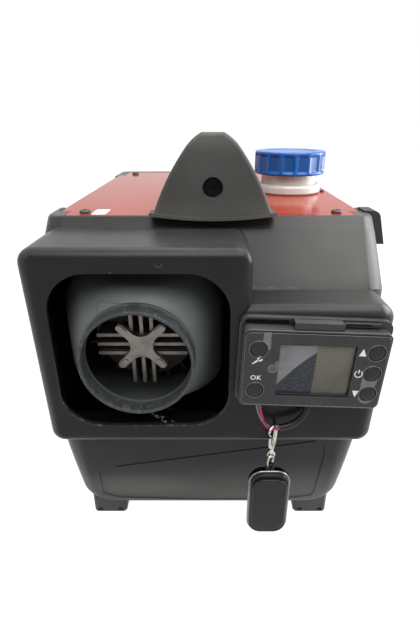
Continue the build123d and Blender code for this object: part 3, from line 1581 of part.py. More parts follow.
for button_name, (dx, z) in fob_button_places.items():
    with BuildPart() as fob_button:
        with BuildSketch(front_plane(fob_front_y + slot_depth - fob_button_room)):
            with Locations((hang_x + dx, z)):
                Circle(fob_button_radius)
        extrude(amount=slot_depth - fob_button_room)
        fillet(fob_button.faces().sort_by(Axis.Y)[0].edges(), radius=0.3)
    save(fob_button.part, button_name)
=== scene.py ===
from math import cos, pi, radians, sin

import bmesh
import bpy
from mathutils import Matrix, Vector


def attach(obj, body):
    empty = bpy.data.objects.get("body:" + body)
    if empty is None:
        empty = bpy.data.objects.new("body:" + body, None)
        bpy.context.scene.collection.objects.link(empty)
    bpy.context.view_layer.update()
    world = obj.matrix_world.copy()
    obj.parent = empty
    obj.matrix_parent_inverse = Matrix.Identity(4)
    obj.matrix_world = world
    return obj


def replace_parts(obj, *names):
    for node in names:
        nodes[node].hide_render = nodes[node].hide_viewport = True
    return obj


# Portable diesel air heater. Metres throughout: X right, -Y front, Z up, floor at zero.
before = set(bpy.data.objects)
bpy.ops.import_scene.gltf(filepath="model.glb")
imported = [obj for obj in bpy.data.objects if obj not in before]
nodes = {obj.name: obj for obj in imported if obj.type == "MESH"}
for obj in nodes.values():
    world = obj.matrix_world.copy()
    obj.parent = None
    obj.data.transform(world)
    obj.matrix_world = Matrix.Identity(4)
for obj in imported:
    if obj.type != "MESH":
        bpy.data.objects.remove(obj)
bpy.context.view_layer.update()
mm = 0.001
print("frame loaded")


# small tools
def addObject(name, data, body):
    obj = bpy.data.objects.new(name, data)
    bpy.context.scene.collection.objects.link(obj)
    if body:
        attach(obj, body)
    return obj


def meshFrom(bm, name, body, material, smooth=True, outward=True):
    # turn a finished bmesh into an object that rides on a body
    mesh = bpy.data.meshes.new(name)
    bmesh.ops.remove_doubles(bm, verts=bm.verts, dist=0.00001)
    if outward:
        bmesh.ops.recalc_face_normals(bm, faces=bm.faces)
    bm.to_mesh(mesh)
    bm.free()
    for face in mesh.polygons:
        face.use_smooth = smooth
    mesh.materials.append(material)
    return addObject(name, mesh, body)


def turned(points, axis, middle, steps=64):
    # solid of revolution: (radius, height) points spun round an axis through middle, in millimetres
    bm = bmesh.new()
    axis = Vector(axis)
    side = axis.orthogonal().normalized()
    line = [bm.verts.new((Vector(middle) + side * r + axis * h) * mm) for r, h in points]
    edges = [bm.edges.new(pair) for pair in zip(line, line[1:])]
    bmesh.ops.spin(
        bm,
        geom=line + edges,
        cent=Vector(middle) * mm,
        axis=axis,
        angle=2 * pi,
        steps=steps,
        use_merge=True,
    )
    bmesh.ops.remove_doubles(bm, verts=bm.verts, dist=0.00001)
    return bm


def joined(parts):
    # several bmeshes as one
    whole = bmesh.new()
    for part in parts:
        mesh = bpy.data.meshes.new("part")
        part.to_mesh(mesh)
        part.free()
        whole.from_mesh(mesh)
        bpy.data.meshes.remove(mesh)
    return whole


def rod(name, body, material, points, radii, closed=False):
    # round rod along a smooth line through millimetre points, its radius given at each
    curve = bpy.data.curves.new(name, "CURVE")
    curve.dimensions = "3D"
    curve.bevel_depth = mm
    curve.bevel_resolution = 6
    curve.resolution_u = 12
    curve.use_fill_caps = not closed
    spline = curve.splines.new("NURBS")
    spline.points.add(len(points) - 1)
    for point, (x, y, z), radius in zip(spline.points, points, radii):
        point.co = (x * mm, y * mm, z * mm, 1.0)
        point.radius = radius
    spline.order_u = 4
    spline.use_endpoint_u = not closed
    spline.use_cyclic_u = closed
    curve.materials.append(material)
    return addObject(name, curve, body)


class Flow:
    # one output of a shader node; arithmetic on it adds Math nodes
    def __init__(self, tree, socket=None):
        self.tree = tree
        self.socket = socket

    def node(self, kind, settings=None, links=None, output=0):
        # any node: its settings first, then the values or links of its sockets
        made = self.tree.nodes.new("ShaderNode" + kind)
        for key, value in (settings or {}).items():
            setattr(made, key, value)
        for key, value in (links or {}).items():
            if isinstance(value, Flow):
                self.tree.links.new(value.socket, made.inputs[key])
            else:
                made.inputs[key].default_value = value
        return Flow(self.tree, made.outputs[output])

    def math(self, operation, first, second=0.0):
        return self.node("Math", {"operation": operation}, {0: first, 1: second})

    def __add__(self, other):
        return self.math("ADD", self, other)

    def __radd__(self, other):
        return self.math("ADD", other, self)

    def __sub__(self, other):
        return self.math("SUBTRACT", self, other)

    def __rsub__(self, other):
        return self.math("SUBTRACT", other, self)

    def __mul__(self, other):
        return self.math("MULTIPLY", self, other)

    def __rmul__(self, other):
        return self.math("MULTIPLY", other, self)

    def __truediv__(self, other):
        return self.math("DIVIDE", self, other)

    def __pow__(self, other):
        return self.math("POWER", self, other)

    def __abs__(self):
        return self.math("ABSOLUTE", self)

    def least(self, other):
        return self.math("MINIMUM", self, other)

    def most(self, other):
        return self.math("MAXIMUM", self, other)

    def ease(self, low, high):
        # smooth step from 0 at low to 1 at high
        return self.node(
            "MapRange",
            {"interpolation_type": "SMOOTHSTEP"},
            {"Value": self, "From Min": low, "From Max": high},
        )

    def blend(self, first, second):
        # colour mix with this flow as the factor; 6, 7 and output 2 are the colour sockets
        links = {"Factor": self, 6: first, 7: second}
        return self.node("Mix", {"data_type": "RGBA"}, links, output=2)


def rgb(red, green, blue):
    return (red, green, blue, 1.0)


def objectPoint(flow):
    # the shaded point in the piece's own metres
    return flow.node("TexCoord", output="Object")


def axes(flow):
    # X, Y and Z of the point in millimetres, as three flows
    split = flow.tree.nodes.new("ShaderNodeSeparateXYZ")
    flow.tree.links.new(objectPoint(flow).socket, split.inputs[0])
    return [Flow(flow.tree, output) * 1000.0 for output in split.outputs]


def noise(flow, scale, detail=2.0, rough=0.5, distortion=0.0, vector=None):
    links = {"Vector": vector or objectPoint(flow), "Scale": scale, "Detail": detail}
    links.update({"Roughness": rough, "Distortion": distortion})
    return flow.node("TexNoise", {}, links)


def stretched(flow, scale):
    # the point with each axis scaled, for lines and streaks
    return flow.node("Mapping", {}, {"Vector": objectPoint(flow), "Scale": scale})


def facing(flow, axis):
    # how far the surface faces along X, Y or Z
    split = flow.tree.nodes.new("ShaderNodeSeparateXYZ")
    flow.tree.links.new(flow.node("NewGeometry", output="Normal").socket, split.inputs[0])
    return Flow(flow.tree, split.outputs["XYZ".index(axis)])


def hypot(first, second):
    return (first * first + second * second) ** 0.5


def boxDistance(u, v, halfWidth, halfHeight, corner):
    # distance to a rounded rectangle's outline: below zero inside
    du = abs(u) - (halfWidth - corner)
    dv = abs(v) - (halfHeight - corner)
    return hypot(du.most(0.0), dv.most(0.0)) + du.most(dv).least(0.0) - corner


def material(name, constants, varying):
    # Principled material: constants go on its sockets, varying makes flows for the rest
    made = bpy.data.materials.new(name)
    made.use_nodes = True
    tree = made.node_tree
    shader = tree.nodes["Principled BSDF"]
    for key, value in constants.items():
        shader.inputs[key].default_value = value
    for key, value in varying(Flow(tree)).items():
        tree.links.new(value.socket, shader.inputs[key])
    return made


def bumped(flow, height, strength, distance):
    return flow.node("Bump", {}, {"Strength": strength, "Distance": distance, "Height": height})


# camera: the photograph's own height, tilt and width of view
view = {
    "place": (0.0, -0.433, 0.348),
    "tiltDown": 24.6,
    "focalPixels": 427.0,
    "pictureHeight": 630.0,
    "sensorHeight": 24.0,
}
camera = bpy.data.cameras.new("camera")
camera.sensor_fit = "VERTICAL"
camera.sensor_height = view["sensorHeight"]
camera.lens = view["focalPixels"] / view["pictureHeight"] * camera.sensor_height
camera.clip_start = 0.01
cameraObject = bpy.data.objects.new("camera", camera)
cameraObject.location = view["place"]
cameraObject.rotation_euler = (radians(90 - view["tiltDown"]), 0, 0)
bpy.context.scene.collection.objects.link(cameraObject)
bpy.context.scene.camera = cameraObject


# finishes: colours are linear, lengths in millimetres, noise scales per metre
def grain(flow, fine, strength=0.12, distance=0.0001, under=None):
    # the fine texture of a moulded surface, on top of another bump where one is given
    links = {"Strength": strength, "Distance": distance, "Height": noise(flow, fine, 3.0, 0.6)}
    if under:
        links["Normal"] = under(flow)
    return flow.node("Bump", {}, links)


def mouldedBlack(name, black, look):
    # dark moulded plastic: fine grain, handling marks, dust with painted sheen where it faces up, and
    # painted glints where the look gives them
    def build(flow):
        marks = noise(flow, 13.0, 6.0, 0.62, 0.4).ease(0.42, 0.8)
        streaks = noise(flow, 60.0, 4.0, 0.7, 1.2).ease(0.6, 0.82)
        upward = facing(flow, "Z").ease(0.3, 0.98)
        settled = noise(flow, 24.0, 6.0, 0.68, 0.6).ease(0.25, 0.75)
        crumbs = noise(flow, 800.0, 3.0, 0.7).ease(0.6, 0.72)
        # dust and painted sheen on faces turned upwards
        dustAndSheen = upward * (0.45 + 0.55 * settled) * (0.75 + 0.5 * crumbs) * look["dustAndSheen"]
        # the look's overlay adds its own marks and painted light
        if "overlay" in look:
            dustAndSheen = look["overlay"](flow, dustAndSheen)
        worn = rgb(*[value * 1.7 for value in black])
        plain = (marks * 0.6 + streaks * 0.25).blend(rgb(*black), worn)
        tone = dustAndSheen.blend(plain, rgb(*look.get("dustAndSheenTone", (0.2, 0.186, 0.165))))
        # painted glints, blended towards pale grey
        if "glint" in look:
            tone = look["glint"](flow).blend(tone, rgb(0.75, 0.76, 0.78))
        return {
            "Base Color": tone,
            "Roughness": look["roughness"] - 0.06 * marks + 0.08 * streaks + 0.3 * dustAndSheen,
            "Normal": grain(flow, look["grain"], look["bump"], under=look.get("rounding")),
        }

    return material(name, {"Specular IOR Level": look["specular"]}, build)


# where the cowl's marks and painted light lie, in millimetres
cowlMarks = {
    "edgeX": 106.0,  # from here on outwards the side edges look rounded
    "edgeRadius": 15.0,
    "front": 187.0,  # how far forward the nose's front face lies
    "ledge": {"y": -156.0, "z": 241.5},
    # the haze low on the front is painted sheen
    "haze": (8.0, 84.0),  # heights between which the pale haze fades out
    "sheen": {"x": -66.0, "z": 40.0},
    "recess": {"x": -45.0, "z": 206.0, "halfWidth": 58.0, "halfHeight": 57.0, "corner": 27.0},
    "recessFloorZ": 135.5,
    "scratches": {"x": -35.5, "y": -164.0},
    "curl": {"x": -31.0, "z": 269.3, "radius": 2.0},
    "pit": {"x": -60.4, "z": 263.7},
    "shoulderHighlightLevel": 0.29,
}


def cowlRounding(flow):
    # softens the cowl's side edges: the surface seems to fall away over the last millimetres
    across = axes(flow)[0]
    past = (abs(across) - cowlMarks["edgeX"]).most(0.0)
    fall = past * past / (-2 * cowlMarks["edgeRadius"])
    return flow.node("Bump", {}, {"Strength": 1.0, "Distance": mm, "Height": fall})


def cowlLedgeDust(x, y, z, broad, fine):
    # swarf and dust in the corner where the ledge meets the shoulder
    ledge = cowlMarks["ledge"]
    line = 1.0 - abs(y - ledge["y"] + 2.0 * broad).ease(0.6, 3.2)
    corner = line * (1.0 - abs(z - ledge["z"]).ease(0.8, 2.4)) * x.ease(-18.0, -8.0)
    return corner * (0.2 + 0.5 * fine) * 0.42


def cowlPaintedSheen(x, z):
    # painted sheen low on the front, and one brighter patch of it
    sheen = cowlMarks["sheen"]
    low = (1.0 - z.ease(*cowlMarks["haze"])) * (0.24 + 0.16 * x.ease(-70.0, 60.0))
    return low + (1.0 - hypot((x - sheen["x"]) * 0.3, z - sheen["z"]).ease(2.0, 24.0)) * 0.2


def cowlScuffs(x, z, fine):
    # rubbed lip of the recess, most of all below
    recess = cowlMarks["recess"]
    u, v = x - recess["x"], z - recess["z"]
    lip = abs(boxDistance(u, v, recess["halfWidth"], recess["halfHeight"], recess["corner"]))
    return (1.0 - lip.ease(0.2, 0.9)) * (recess["z"] - z).ease(-10.0, 45.0) * fine * 0.7


def cowlNicks(x, z):
    # a small curl cut into the front face above the recess, and a pit beside it
    curl, pit = cowlMarks["curl"], cowlMarks["pit"]
    ring = 1.0 - abs(hypot(x - curl["x"], z - curl["z"]) - curl["radius"]).ease(0.1, 0.5)
    dot = 1.0 - hypot(x - pit["x"], z - pit["z"]).ease(0.3, 0.9)
    return ring * (curl["z"] + 0.2 - z).ease(0.0, 0.6) + dot


def cowlMarksAndPaintedLight(flow, dustAndSheen):
    # the strongest of all the marks and painted light at each point; the recess's floor keeps no dust or
    # painted sheen, a painted shade
    x, y, z = axes(flow)
    fine = noise(flow, 420.0, 4.0, 0.75).ease(0.46, 0.66)
    broad = noise(flow, 26.0, 4.0, 0.6).ease(0.3, 0.75)
    front = cowlMarks["front"]
    ahead = (-1.0 * y).ease(front - 0.5, front + 0.6)
    # the recess's floor, behind the front face
    indoors = (y + (front - 1.0)).ease(0.0, 1.0) * (1.0 - z.ease(138.0, 142.0)) * z.ease(133.6, 134.4)
    shadedFloor = indoors * (1.0 - x.ease(10.0, 14.0))
    # dust and painted sheen, none on the recess's floor and less on the ledge
    settled = dustAndSheen * (1.0 - shadedFloor) * (0.45 + 0.55 * z.ease(242.0, 250.0))
    # painted highlight over the shoulder right of the nose
    shoulderHighlight = x.ease(10.0, 100.0) * z.ease(230.0, 250.0) * (cowlMarks["shoulderHighlightLevel"] + 0.08 * broad)
    marked = settled.most(cowlLedgeDust(x, y, z, broad, fine)).most(cowlPaintedSheen(x, z))
    marked = marked.most(cowlScuffs(x, z, fine) * ahead).most(cowlNicks(x, z) * ahead * 0.22)
    return marked.most(shoulderHighlight)


def recessGlint(flow):
    # painted glints on the recess's floor
    x, y, z = axes(flow)
    scratches = cowlMarks["scratches"]
    along = x - scratches["x"]
    spot = 1.0 - hypot(along * 0.3, y - scratches["y"] + along * 0.64).ease(2.0, 4.0)
    floor = 1.0 - abs(z - cowlMarks["recessFloorZ"]).ease(0.6, 1.2)
    return spot * noise(flow, 240.0, 2.0, 0.5, 1.4).ease(0.54, 0.58) * floor


def handleTipHighlightAndPaleFoot(flow, dustAndSheen):
    # painted highlight at the tip, and paler towards the foot
    height = axes(flow)[2]
    broad = noise(flow, 30.0, 4.0, 0.6).ease(0.25, 0.75)
    tip = height.ease(326.0, 340.0) * 0.22
    foot = (1.0 - height.ease(286.0, 306.0)) * 0.16
    return dustAndSheen.most((tip + foot) * (0.7 + 0.6 * broad))


cowlLook = {
    "roughness": 0.31,
    "specular": 0.17,
    "grain": 2400.0,
    "bump": 0.1,
    "dustAndSheen": 0.24,
    "dustAndSheenTone": (0.19, 0.185, 0.174),
    "overlay": cowlMarksAndPaintedLight,
    "rounding": cowlRounding,
    "glint": recessGlint,
}
handleLook = {
    "roughness": 0.58,
    "specular": 0.35,
    "grain": 1900.0,
    "bump": 0.2,
    "dustAndSheen": 0.3,
    "overlay": handleTipHighlightAndPaleFoot,
}
footLook = {"roughness": 0.6, "specular": 0.35, "grain": 1500.0, "bump": 0.25, "dustAndSheen": 0.35}
rubberLook = {"roughness": 0.62, "specular": 0.3, "grain": 1500.0, "bump": 0.2, "dustAndSheen": 0.25}
cowlPlastic = mouldedBlack("cowlPlastic", (0.0066, 0.0068, 0.007), cowlLook)
handlePlastic = mouldedBlack("handlePlastic", (0.031, 0.0302, 0.0285), handleLook)
footPlastic = mouldedBlack("footPlastic", (0.032, 0.036, 0.032), footLook)
rubber = mouldedBlack("rubber", (0.014, 0.014, 0.0145), rubberLook)


def redEnamel():
    # gloss paint with orange peel and dust; the casing's front edge inside the cowl is painted dark, a
    # painted shade
    def build(flow):
        y, z = axes(flow)[1:]
        cloud = noise(flow, 9.0, 3.0, 0.5).ease(0.3, 0.75)
        specks = noise(flow, 420.0, 3.0, 0.6).ease(0.64, 0.74)
        peel = noise(flow, 260.0, 2.0, 0.4)
        dustAndSheen = facing(flow, "Z").ease(0.8, 1.0) * noise(flow, 60.0, 5.0, 0.7).ease(0.35, 0.8)
        shadedEdge = (-1.0 * y).ease(90.9, 91.3) * (1.0 - z.ease(262.0, 266.0))
        red = (cloud * 0.6).blend(rgb(0.26, 0.03, 0.014), rgb(0.3, 0.038, 0.018))
        dusty = (dustAndSheen * 0.06 + specks * 0.08).blend(red, rgb(0.5, 0.4, 0.35))
        return {
            "Base Color": shadedEdge.blend(dusty, rgb(0.02, 0.006, 0.005)),
            "Roughness": 0.1 + 0.04 * cloud + 0.14 * specks + 0.06 * dustAndSheen + 0.5 * shadedEdge,
            "Normal": bumped(flow, peel, 0.025, 0.0002),
        }

    return material("redEnamel", {"Specular IOR Level": 0.07}, build)


def hoodPlastic():
    # grey-green moulding with a faint rounded outline on its crown, a scuffed rim, and painted shade on
    # its sides
    crown = {"x": -54.0, "z": 232.0, "halfWidth": 17.5, "halfHeight": 11.5, "corner": 3.5}
    collarX = -47.0

    def build(flow):
        x, y, z = axes(flow)
        patches = noise(flow, 22.0, 5.0, 0.6, 0.5).ease(0.4, 0.75)
        speck = noise(flow, 700.0, 4.0, 0.75).ease(0.56, 0.68)
        u, v = x - crown["x"], z - crown["z"]
        outline = boxDistance(u, v, crown["halfWidth"], crown["halfHeight"], crown["corner"])
        line = 1.0 - abs(outline).ease(0.05, 0.4)
        collar = (-1.0 * y).ease(188.0, 192.0)
        scuff = noise(flow, 300.0, 5.0, 0.75, 0.6).ease(0.5, 0.68) * collar
        crownTone = patches.blend(rgb(0.064, 0.07, 0.07), rgb(0.084, 0.09, 0.088))
        tone = collar.blend(crownTone, rgb(0.021, 0.0235, 0.024))
        speckled = (speck * (0.06 + 0.26 * collar)).blend(tone, rgb(0.16, 0.165, 0.16))
        # painted shade on the hood's sides
        shadedSides = abs(x - collarX).ease(34.0, 52.0) * (1.0 - collar) * 0.6
        lined = (line * 0.6).most(shadedSides).blend(speckled, rgb(0.012, 0.014, 0.015))
        marked = (scuff * 0.4).blend(lined, rgb(0.15, 0.155, 0.15))
        grains = noise(flow, 1300.0, 3.0, 0.6)
        return {
            "Base Color": marked,
            "Roughness": 0.5 + 0.1 * patches + 0.1 * scuff,
            "Normal": bumped(flow, grains * 0.35 - 0.9 * line + 0.5 * scuff, 0.3, 0.0002),
        }

    return material("hoodPlastic", {"Specular IOR Level": 0.3}, build)


def castAluminium(name, light, dark):
    # sand-cast skin, darkened by painted shade towards the back and low down
    def build(flow):
        y, z = axes(flow)[1:]
        sand = noise(flow, 1400.0, 4.0, 0.65)
        stain = noise(flow, 70.0, 4.0, 0.6).ease(0.4, 0.75)
        paintedShade = y.ease(-176.0, -158.0) * 0.55 + (206.0 - z).ease(8.0, 34.0) * 0.25
        cast = stain.blend(rgb(*light), rgb(*dark))
        return {
            "Base Color": paintedShade.least(0.8).blend(cast, rgb(0.02, 0.02, 0.022)),
            "Roughness": 0.48 + 0.16 * stain,
            "Normal": bumped(flow, sand, 0.3, 0.0002),
        }

    return material(name, {"Metallic": 0.75}, build)


def brushedSteel(name, tone, roughness):
    # fine lines along X
    def build(flow):
        lines = noise(flow, 1.0, 3.0, vector=stretched(flow, (60.0, 900.0, 900.0)))
        darker = rgb(*[value * 0.7 for value in tone])
        return {
            "Base Color": (lines * 0.4).blend(rgb(*tone), darker),
            "Roughness": roughness + 0.15 * lines,
            "Normal": bumped(flow, lines, 0.08, 0.0001),
        }

    return material(name, {"Metallic": 1.0}, build)


def tankPlastic():
    # milky polyethylene, a little yellowed low down
    def build(flow):
        height = axes(flow)[2]
        cloud = noise(flow, 40.0, 4.0, 0.5).ease(0.3, 0.8)
        low = 1.0 - height.ease(284.0, 300.0)
        pale = cloud.blend(rgb(0.6, 0.585, 0.545), rgb(0.5, 0.485, 0.45))
        return {
            "Base Color": (low * 0.2).blend(pale, rgb(0.56, 0.5, 0.43)),
            "Roughness": 0.3 + 0.12 * cloud,
            "Normal": grain(flow, 700.0, 0.06, 0.0002),
        }

    settings = {
        "Subsurface Weight": 0.3,
        "Subsurface Radius": (0.004, 0.0036, 0.003),
        "Subsurface Scale": 1.0,
        "Coat Weight": 0.3,
        "Coat Roughness": 0.12,
    }
    return material("tankPlastic", settings, build)


# screw cap of the tank: smooth rims above and below sixteen hollow flutes
cap = {
    "middle": (75.0, -7.0, 302.0),
    "radius": 32.5,
    "height": 20.0,
    "bore": 29.4,
    "roof": 17.6,
    "topRound": 2.2,
    "flutes": 16,
    "fluteDepth": 1.25,
    "fluteFoot": 2.2,
    "fluteHead": 2.8,
    "ribShare": 0.13,
    "dishRadius": 23.5,
}


def bluePlastic():
    # painted shade darkens the flutes; scuffed, and dusty with painted sheen on top
    def build(flow):
        x, y, z = axes(flow)
        cloud = noise(flow, 60.0, 3.0, 0.5).ease(0.35, 0.8)
        scuff = noise(flow, 340.0, 4.0, 0.7, 0.8).ease(0.63, 0.76)
        dustAndSheen = facing(flow, "Z").ease(0.7, 1.0) * noise(flow, 90.0, 5.0, 0.7).ease(0.3, 0.75)
        middleX, middleY, foot = cap["middle"]
        rim = cap["radius"]
        hollow = 1.0 - hypot(x - middleX, y - middleY).ease(rim - 1.6, rim - 0.2)
        shaded = hollow * (1.0 - z.ease(foot + 17.0, foot + 18.5))
        lively = (cloud * 0.5 + scuff * 0.2).blend(rgb(0.001, 0.075, 0.31), rgb(0.003, 0.12, 0.43))
        blue = (shaded * 0.62).blend(lively, rgb(0.0005, 0.016, 0.09))
        return {
            "Base Color": (dustAndSheen * 0.4).blend(blue, rgb(0.29, 0.34, 0.4)),
            "Roughness": 0.24 + 0.1 * cloud + 0.15 * scuff + 0.14 * dustAndSheen,
            "Normal": grain(flow, 900.0, 0.05),
        }

    settings = {"Coat Weight": 0.15, "Coat Roughness": 0.1, "Specular IOR Level": 0.3}
    return material("bluePlastic", settings, build)


def glossBlack(name, tone, roughness, coat, specular=0.5):
    # smooth black paint or plastic with fingermarks and a few specks
    def build(flow):
        smear = noise(flow, 30.0, 5.0, 0.65, 1.5).ease(0.45, 0.8)
        specks = noise(flow, 700.0, 3.0, 0.6).ease(0.68, 0.76)
        return {
            "Base Color": (specks * 0.2).blend(rgb(*tone), rgb(0.2, 0.2, 0.2)),
            "Roughness": roughness + 0.1 * smear + 0.15 * specks,
            "Normal": bumped(flow, noise(flow, 300.0, 2.0), 0.02, 0.0002),
        }

    settings = {"Coat Weight": coat, "Coat Roughness": 0.05, "Specular IOR Level": specular}
    return material(name, settings, build)


def chromePlate(name, light, dark, roughness):
    # thin plating, clouded and pitted
    def build(flow):
        cloud = noise(flow, 160.0, 4.0, 0.6).ease(0.4, 0.8)
        pits = noise(flow, 1600.0, 3.0, 0.7).ease(0.6, 0.75)
        return {
            "Base Color": (cloud * 0.7 + pits * 0.3).blend(rgb(*light), rgb(*dark)),
            "Roughness": roughness + 0.16 * cloud + 0.15 * pits,
            "Normal": bumped(flow, noise(flow, 900.0, 2.0), 0.03, 0.0001),
        }

    return material(name, {"Metallic": 1.0}, build)


def wireCoat(name, low, high, specular=0.3):
    # soft insulation, slightly patchy
    def build(flow):
        cloud = noise(flow, 260.0, 4.0, 0.6).ease(0.35, 0.75)
        return {
            "Base Color": cloud.blend(rgb(*low), rgb(*high)),
            "Roughness": 0.28 + 0.15 * cloud,
            "Normal": bumped(flow, noise(flow, 900.0, 2.0), 0.06, 0.0001),
        }

    return material(name, {"Specular IOR Level": specular}, build)


# the controller's own axes, in millimetres: u to the right and v up, on its rolled face
panel = {
    "x": 66.0,
    "z": 202.0,
    "roll": radians(2.2),
    "faceY": -201.0,
    "halfWidth": 46.5,
    "halfHeight": 28.0,
    "windowU": 0.8,
    "windowV": 0.5,
    "windowHalfWidth": 24.0,
    "windowHalfHeight": 18.9,
    "windowCorner": 0.6,
    "buttonRadius": 5.4,
    "buttons": {
        "settings": (-36.3, 14.9),
        "ok": (-36.3, -15.2),
        "up": (37.8, 14.8),
        "power": (37.6, -0.4),
        "down": (37.5, -15.7),
    },
}


def onPanel(u, v, y):
    # point of the shared frame at (u, v) on the controller, at depth y
    c, s = cos(panel["roll"]), sin(panel["roll"])
    return Vector((panel["x"] + u * c + v * s, y, panel["z"] - u * s + v * c))


def panelAxes(flow):
    # u and v of the shaded point, as two flows
    x, _, z = axes(flow)
    c, s = cos(panel["roll"]), sin(panel["roll"])
    dx, dz = x - panel["x"], z - panel["z"]
    return dx * c - dz * s, dx * s + dz * c


def windowDistance(u, v, inset=0.0):
    # distance to the outline of the display's window, drawn in by inset
    halfWidth = panel["windowHalfWidth"] - inset
    halfHeight = panel["windowHalfHeight"] - inset
    du, dv = u - panel["windowU"], v - panel["windowV"]
    return boxDistance(du, dv, halfWidth, halfHeight, panel["windowCorner"])


# where the lens's shipping film has lifted, on the controller's axes
filmPatches = {
    "column": {"u": 36.6, "v": -8.6, "halfWidth": 5.0, "halfHeight": 14.4, "corner": 4.8},
    "strap": {"u": -31.6, "v": 21.0, "halfWidth": 2.4, "halfHeight": 6.0, "corner": 0.8},
    "bubble": {"u": -26.3, "v": 1.2, "radius": 2.6},
    "spread": {"u": -21.6, "v": 4.6},
}


def filmPatch(u, v, patch, ragged):
    # distance to a patch's outline, made ragged by noise
    du, dv = u - patch["u"], v - patch["v"]
    return boxDistance(du, dv, patch["halfWidth"], patch["halfHeight"], patch["corner"]) + ragged


def liftedFilm(flow, u, v):
    # how far the film has lifted: a column by the buttons, a strap, a bubble and a smear beside it
    column = filmPatch(u, v, filmPatches["column"], noise(flow, 160.0, 3.0) * 2.6)
    strap = filmPatch(u, v, filmPatches["strap"], noise(flow, 120.0, 2.0) * 1.2)
    bubble, spread = filmPatches["bubble"], filmPatches["spread"]
    fromBubble = hypot(u - bubble["u"], v - bubble["v"])
    ring = 1.0 - abs(fromBubble - bubble["radius"]).ease(0.1, 0.9)
    inner = 1.0 - fromBubble.ease(2.0, 2.7)
    smeared = 1.0 - hypot((u - spread["u"]) * 0.8, v - spread["v"]).ease(2.2, 3.6)
    lifted = (1.0 - column.ease(0.9, 1.5)) * 0.75
    lifted = lifted.most((1.0 - strap.ease(0.2, 1.2)) * 0.8).most(ring * 0.7)
    return lifted.most(smeared * 0.6).most(inner * 0.35)


def lensPlastic():
    # gloss black sheet with a clear window
    def build(flow):
        u, v = panelAxes(flow)
        clear = 1.0 - windowDistance(u, v).ease(-0.1, 0.12)
        smear = noise(flow, 34.0, 5.0, 0.65, 1.2).ease(0.42, 0.8)
        lifted = liftedFilm(flow, u, v)
        haze = (smear * 0.05 + lifted * 0.55).least(0.6)
        return {
            "Base Color": haze.blend(rgb(0.01, 0.01, 0.011), rgb(0.2, 0.195, 0.19)),
            "Roughness": 0.09 + 0.1 * smear + 0.18 * lifted,
            "Alpha": 1.0 - 0.93 * clear * (1.0 - 0.12 * smear),
            "Normal": bumped(flow, noise(flow, 40.0, 2.0) + lifted * 0.6, 0.05, 0.0004),
        }

    return material("lensPlastic", {"Specular IOR Level": 0.36}, build)


def lcdGlass():
    # switched-off display with a painted reflection: pale upper left, dark lower left; warm grey right
    # half
    def build(flow):
        u, v = panelAxes(flow)
        soft = noise(flow, 30.0, 3.0, 0.5) * 3.0 - 1.5
        warm = (u + soft * 0.25).ease(0.4, 1.6)
        along = u + panel["windowHalfWidth"]
        reflectionEdge = v - along * 1.1 - along * (-1.0 * u) * 0.012 + 14.5  # slightly curved diagonal
        pale = (reflectionEdge + soft * 0.6).ease(-0.9, 0.9)
        sink = (v * -1.0).ease(-16.0, 16.0)
        leftReflection = pale.blend(rgb(0.022, 0.026, 0.036), rgb(0.17, 0.172, 0.18))
        right = (sink * 0.8).blend(rgb(0.118, 0.11, 0.086), rgb(0.082, 0.077, 0.06))
        frameShade = windowDistance(u, v, inset=0.5).ease(-1.2, 0.4) * 0.55
        return {
            "Base Color": frameShade.blend(warm.blend(leftReflection, right), rgb(0.012, 0.012, 0.013)),
            "Roughness": 0.22 + 0.08 * warm,
            "Normal": bumped(flow, noise(flow, 90.0, 2.0), 0.02, 0.0002),
        }

    return material("lcdGlass", {"Specular IOR Level": 0.3}, build)


def paperLabel():
    # matt white paper, a little grubby
    def build(flow):
        fibre = noise(flow, 900.0, 4.0, 0.7).ease(0.4, 0.7)
        cloud = noise(flow, 180.0, 3.0, 0.5).ease(0.4, 0.75)
        return {
            "Base Color": (fibre * 0.3 + cloud * 0.4).blend(rgb(0.8, 0.79, 0.77), rgb(0.62, 0.6, 0.57)),
            "Roughness": 0.5 + 0.15 * fibre,
            "Normal": bumped(flow, fibre, 0.1, 0.0001),
        }

    return material("paperLabel", {}, build)


def whitePrint():
    # worn white ink
    def build(flow):
        overlay = noise(flow, 900.0, 3.0, 0.6).ease(0.5, 0.75)
        return {
            "Base Color": (overlay * 0.5).blend(rgb(0.5, 0.5, 0.49), rgb(0.34, 0.34, 0.34)),
            "Roughness": 0.4 + 0.15 * overlay,
        }

    return material("whitePrint", {}, build)


redPaint = redEnamel()
hoodFinish = hoodPlastic()
aluminium = castAluminium("castAluminium", (0.24, 0.22, 0.197), (0.17, 0.155, 0.138))
darkCasting = castAluminium("darkCasting", (0.3, 0.28, 0.25), (0.17, 0.155, 0.14))
steel = brushedSteel("steel", (0.58, 0.58, 0.57), 0.3)
blackSteel = glossBlack("blackSteel", (0.016, 0.015, 0.015), 0.36, 0.0, 0.6)
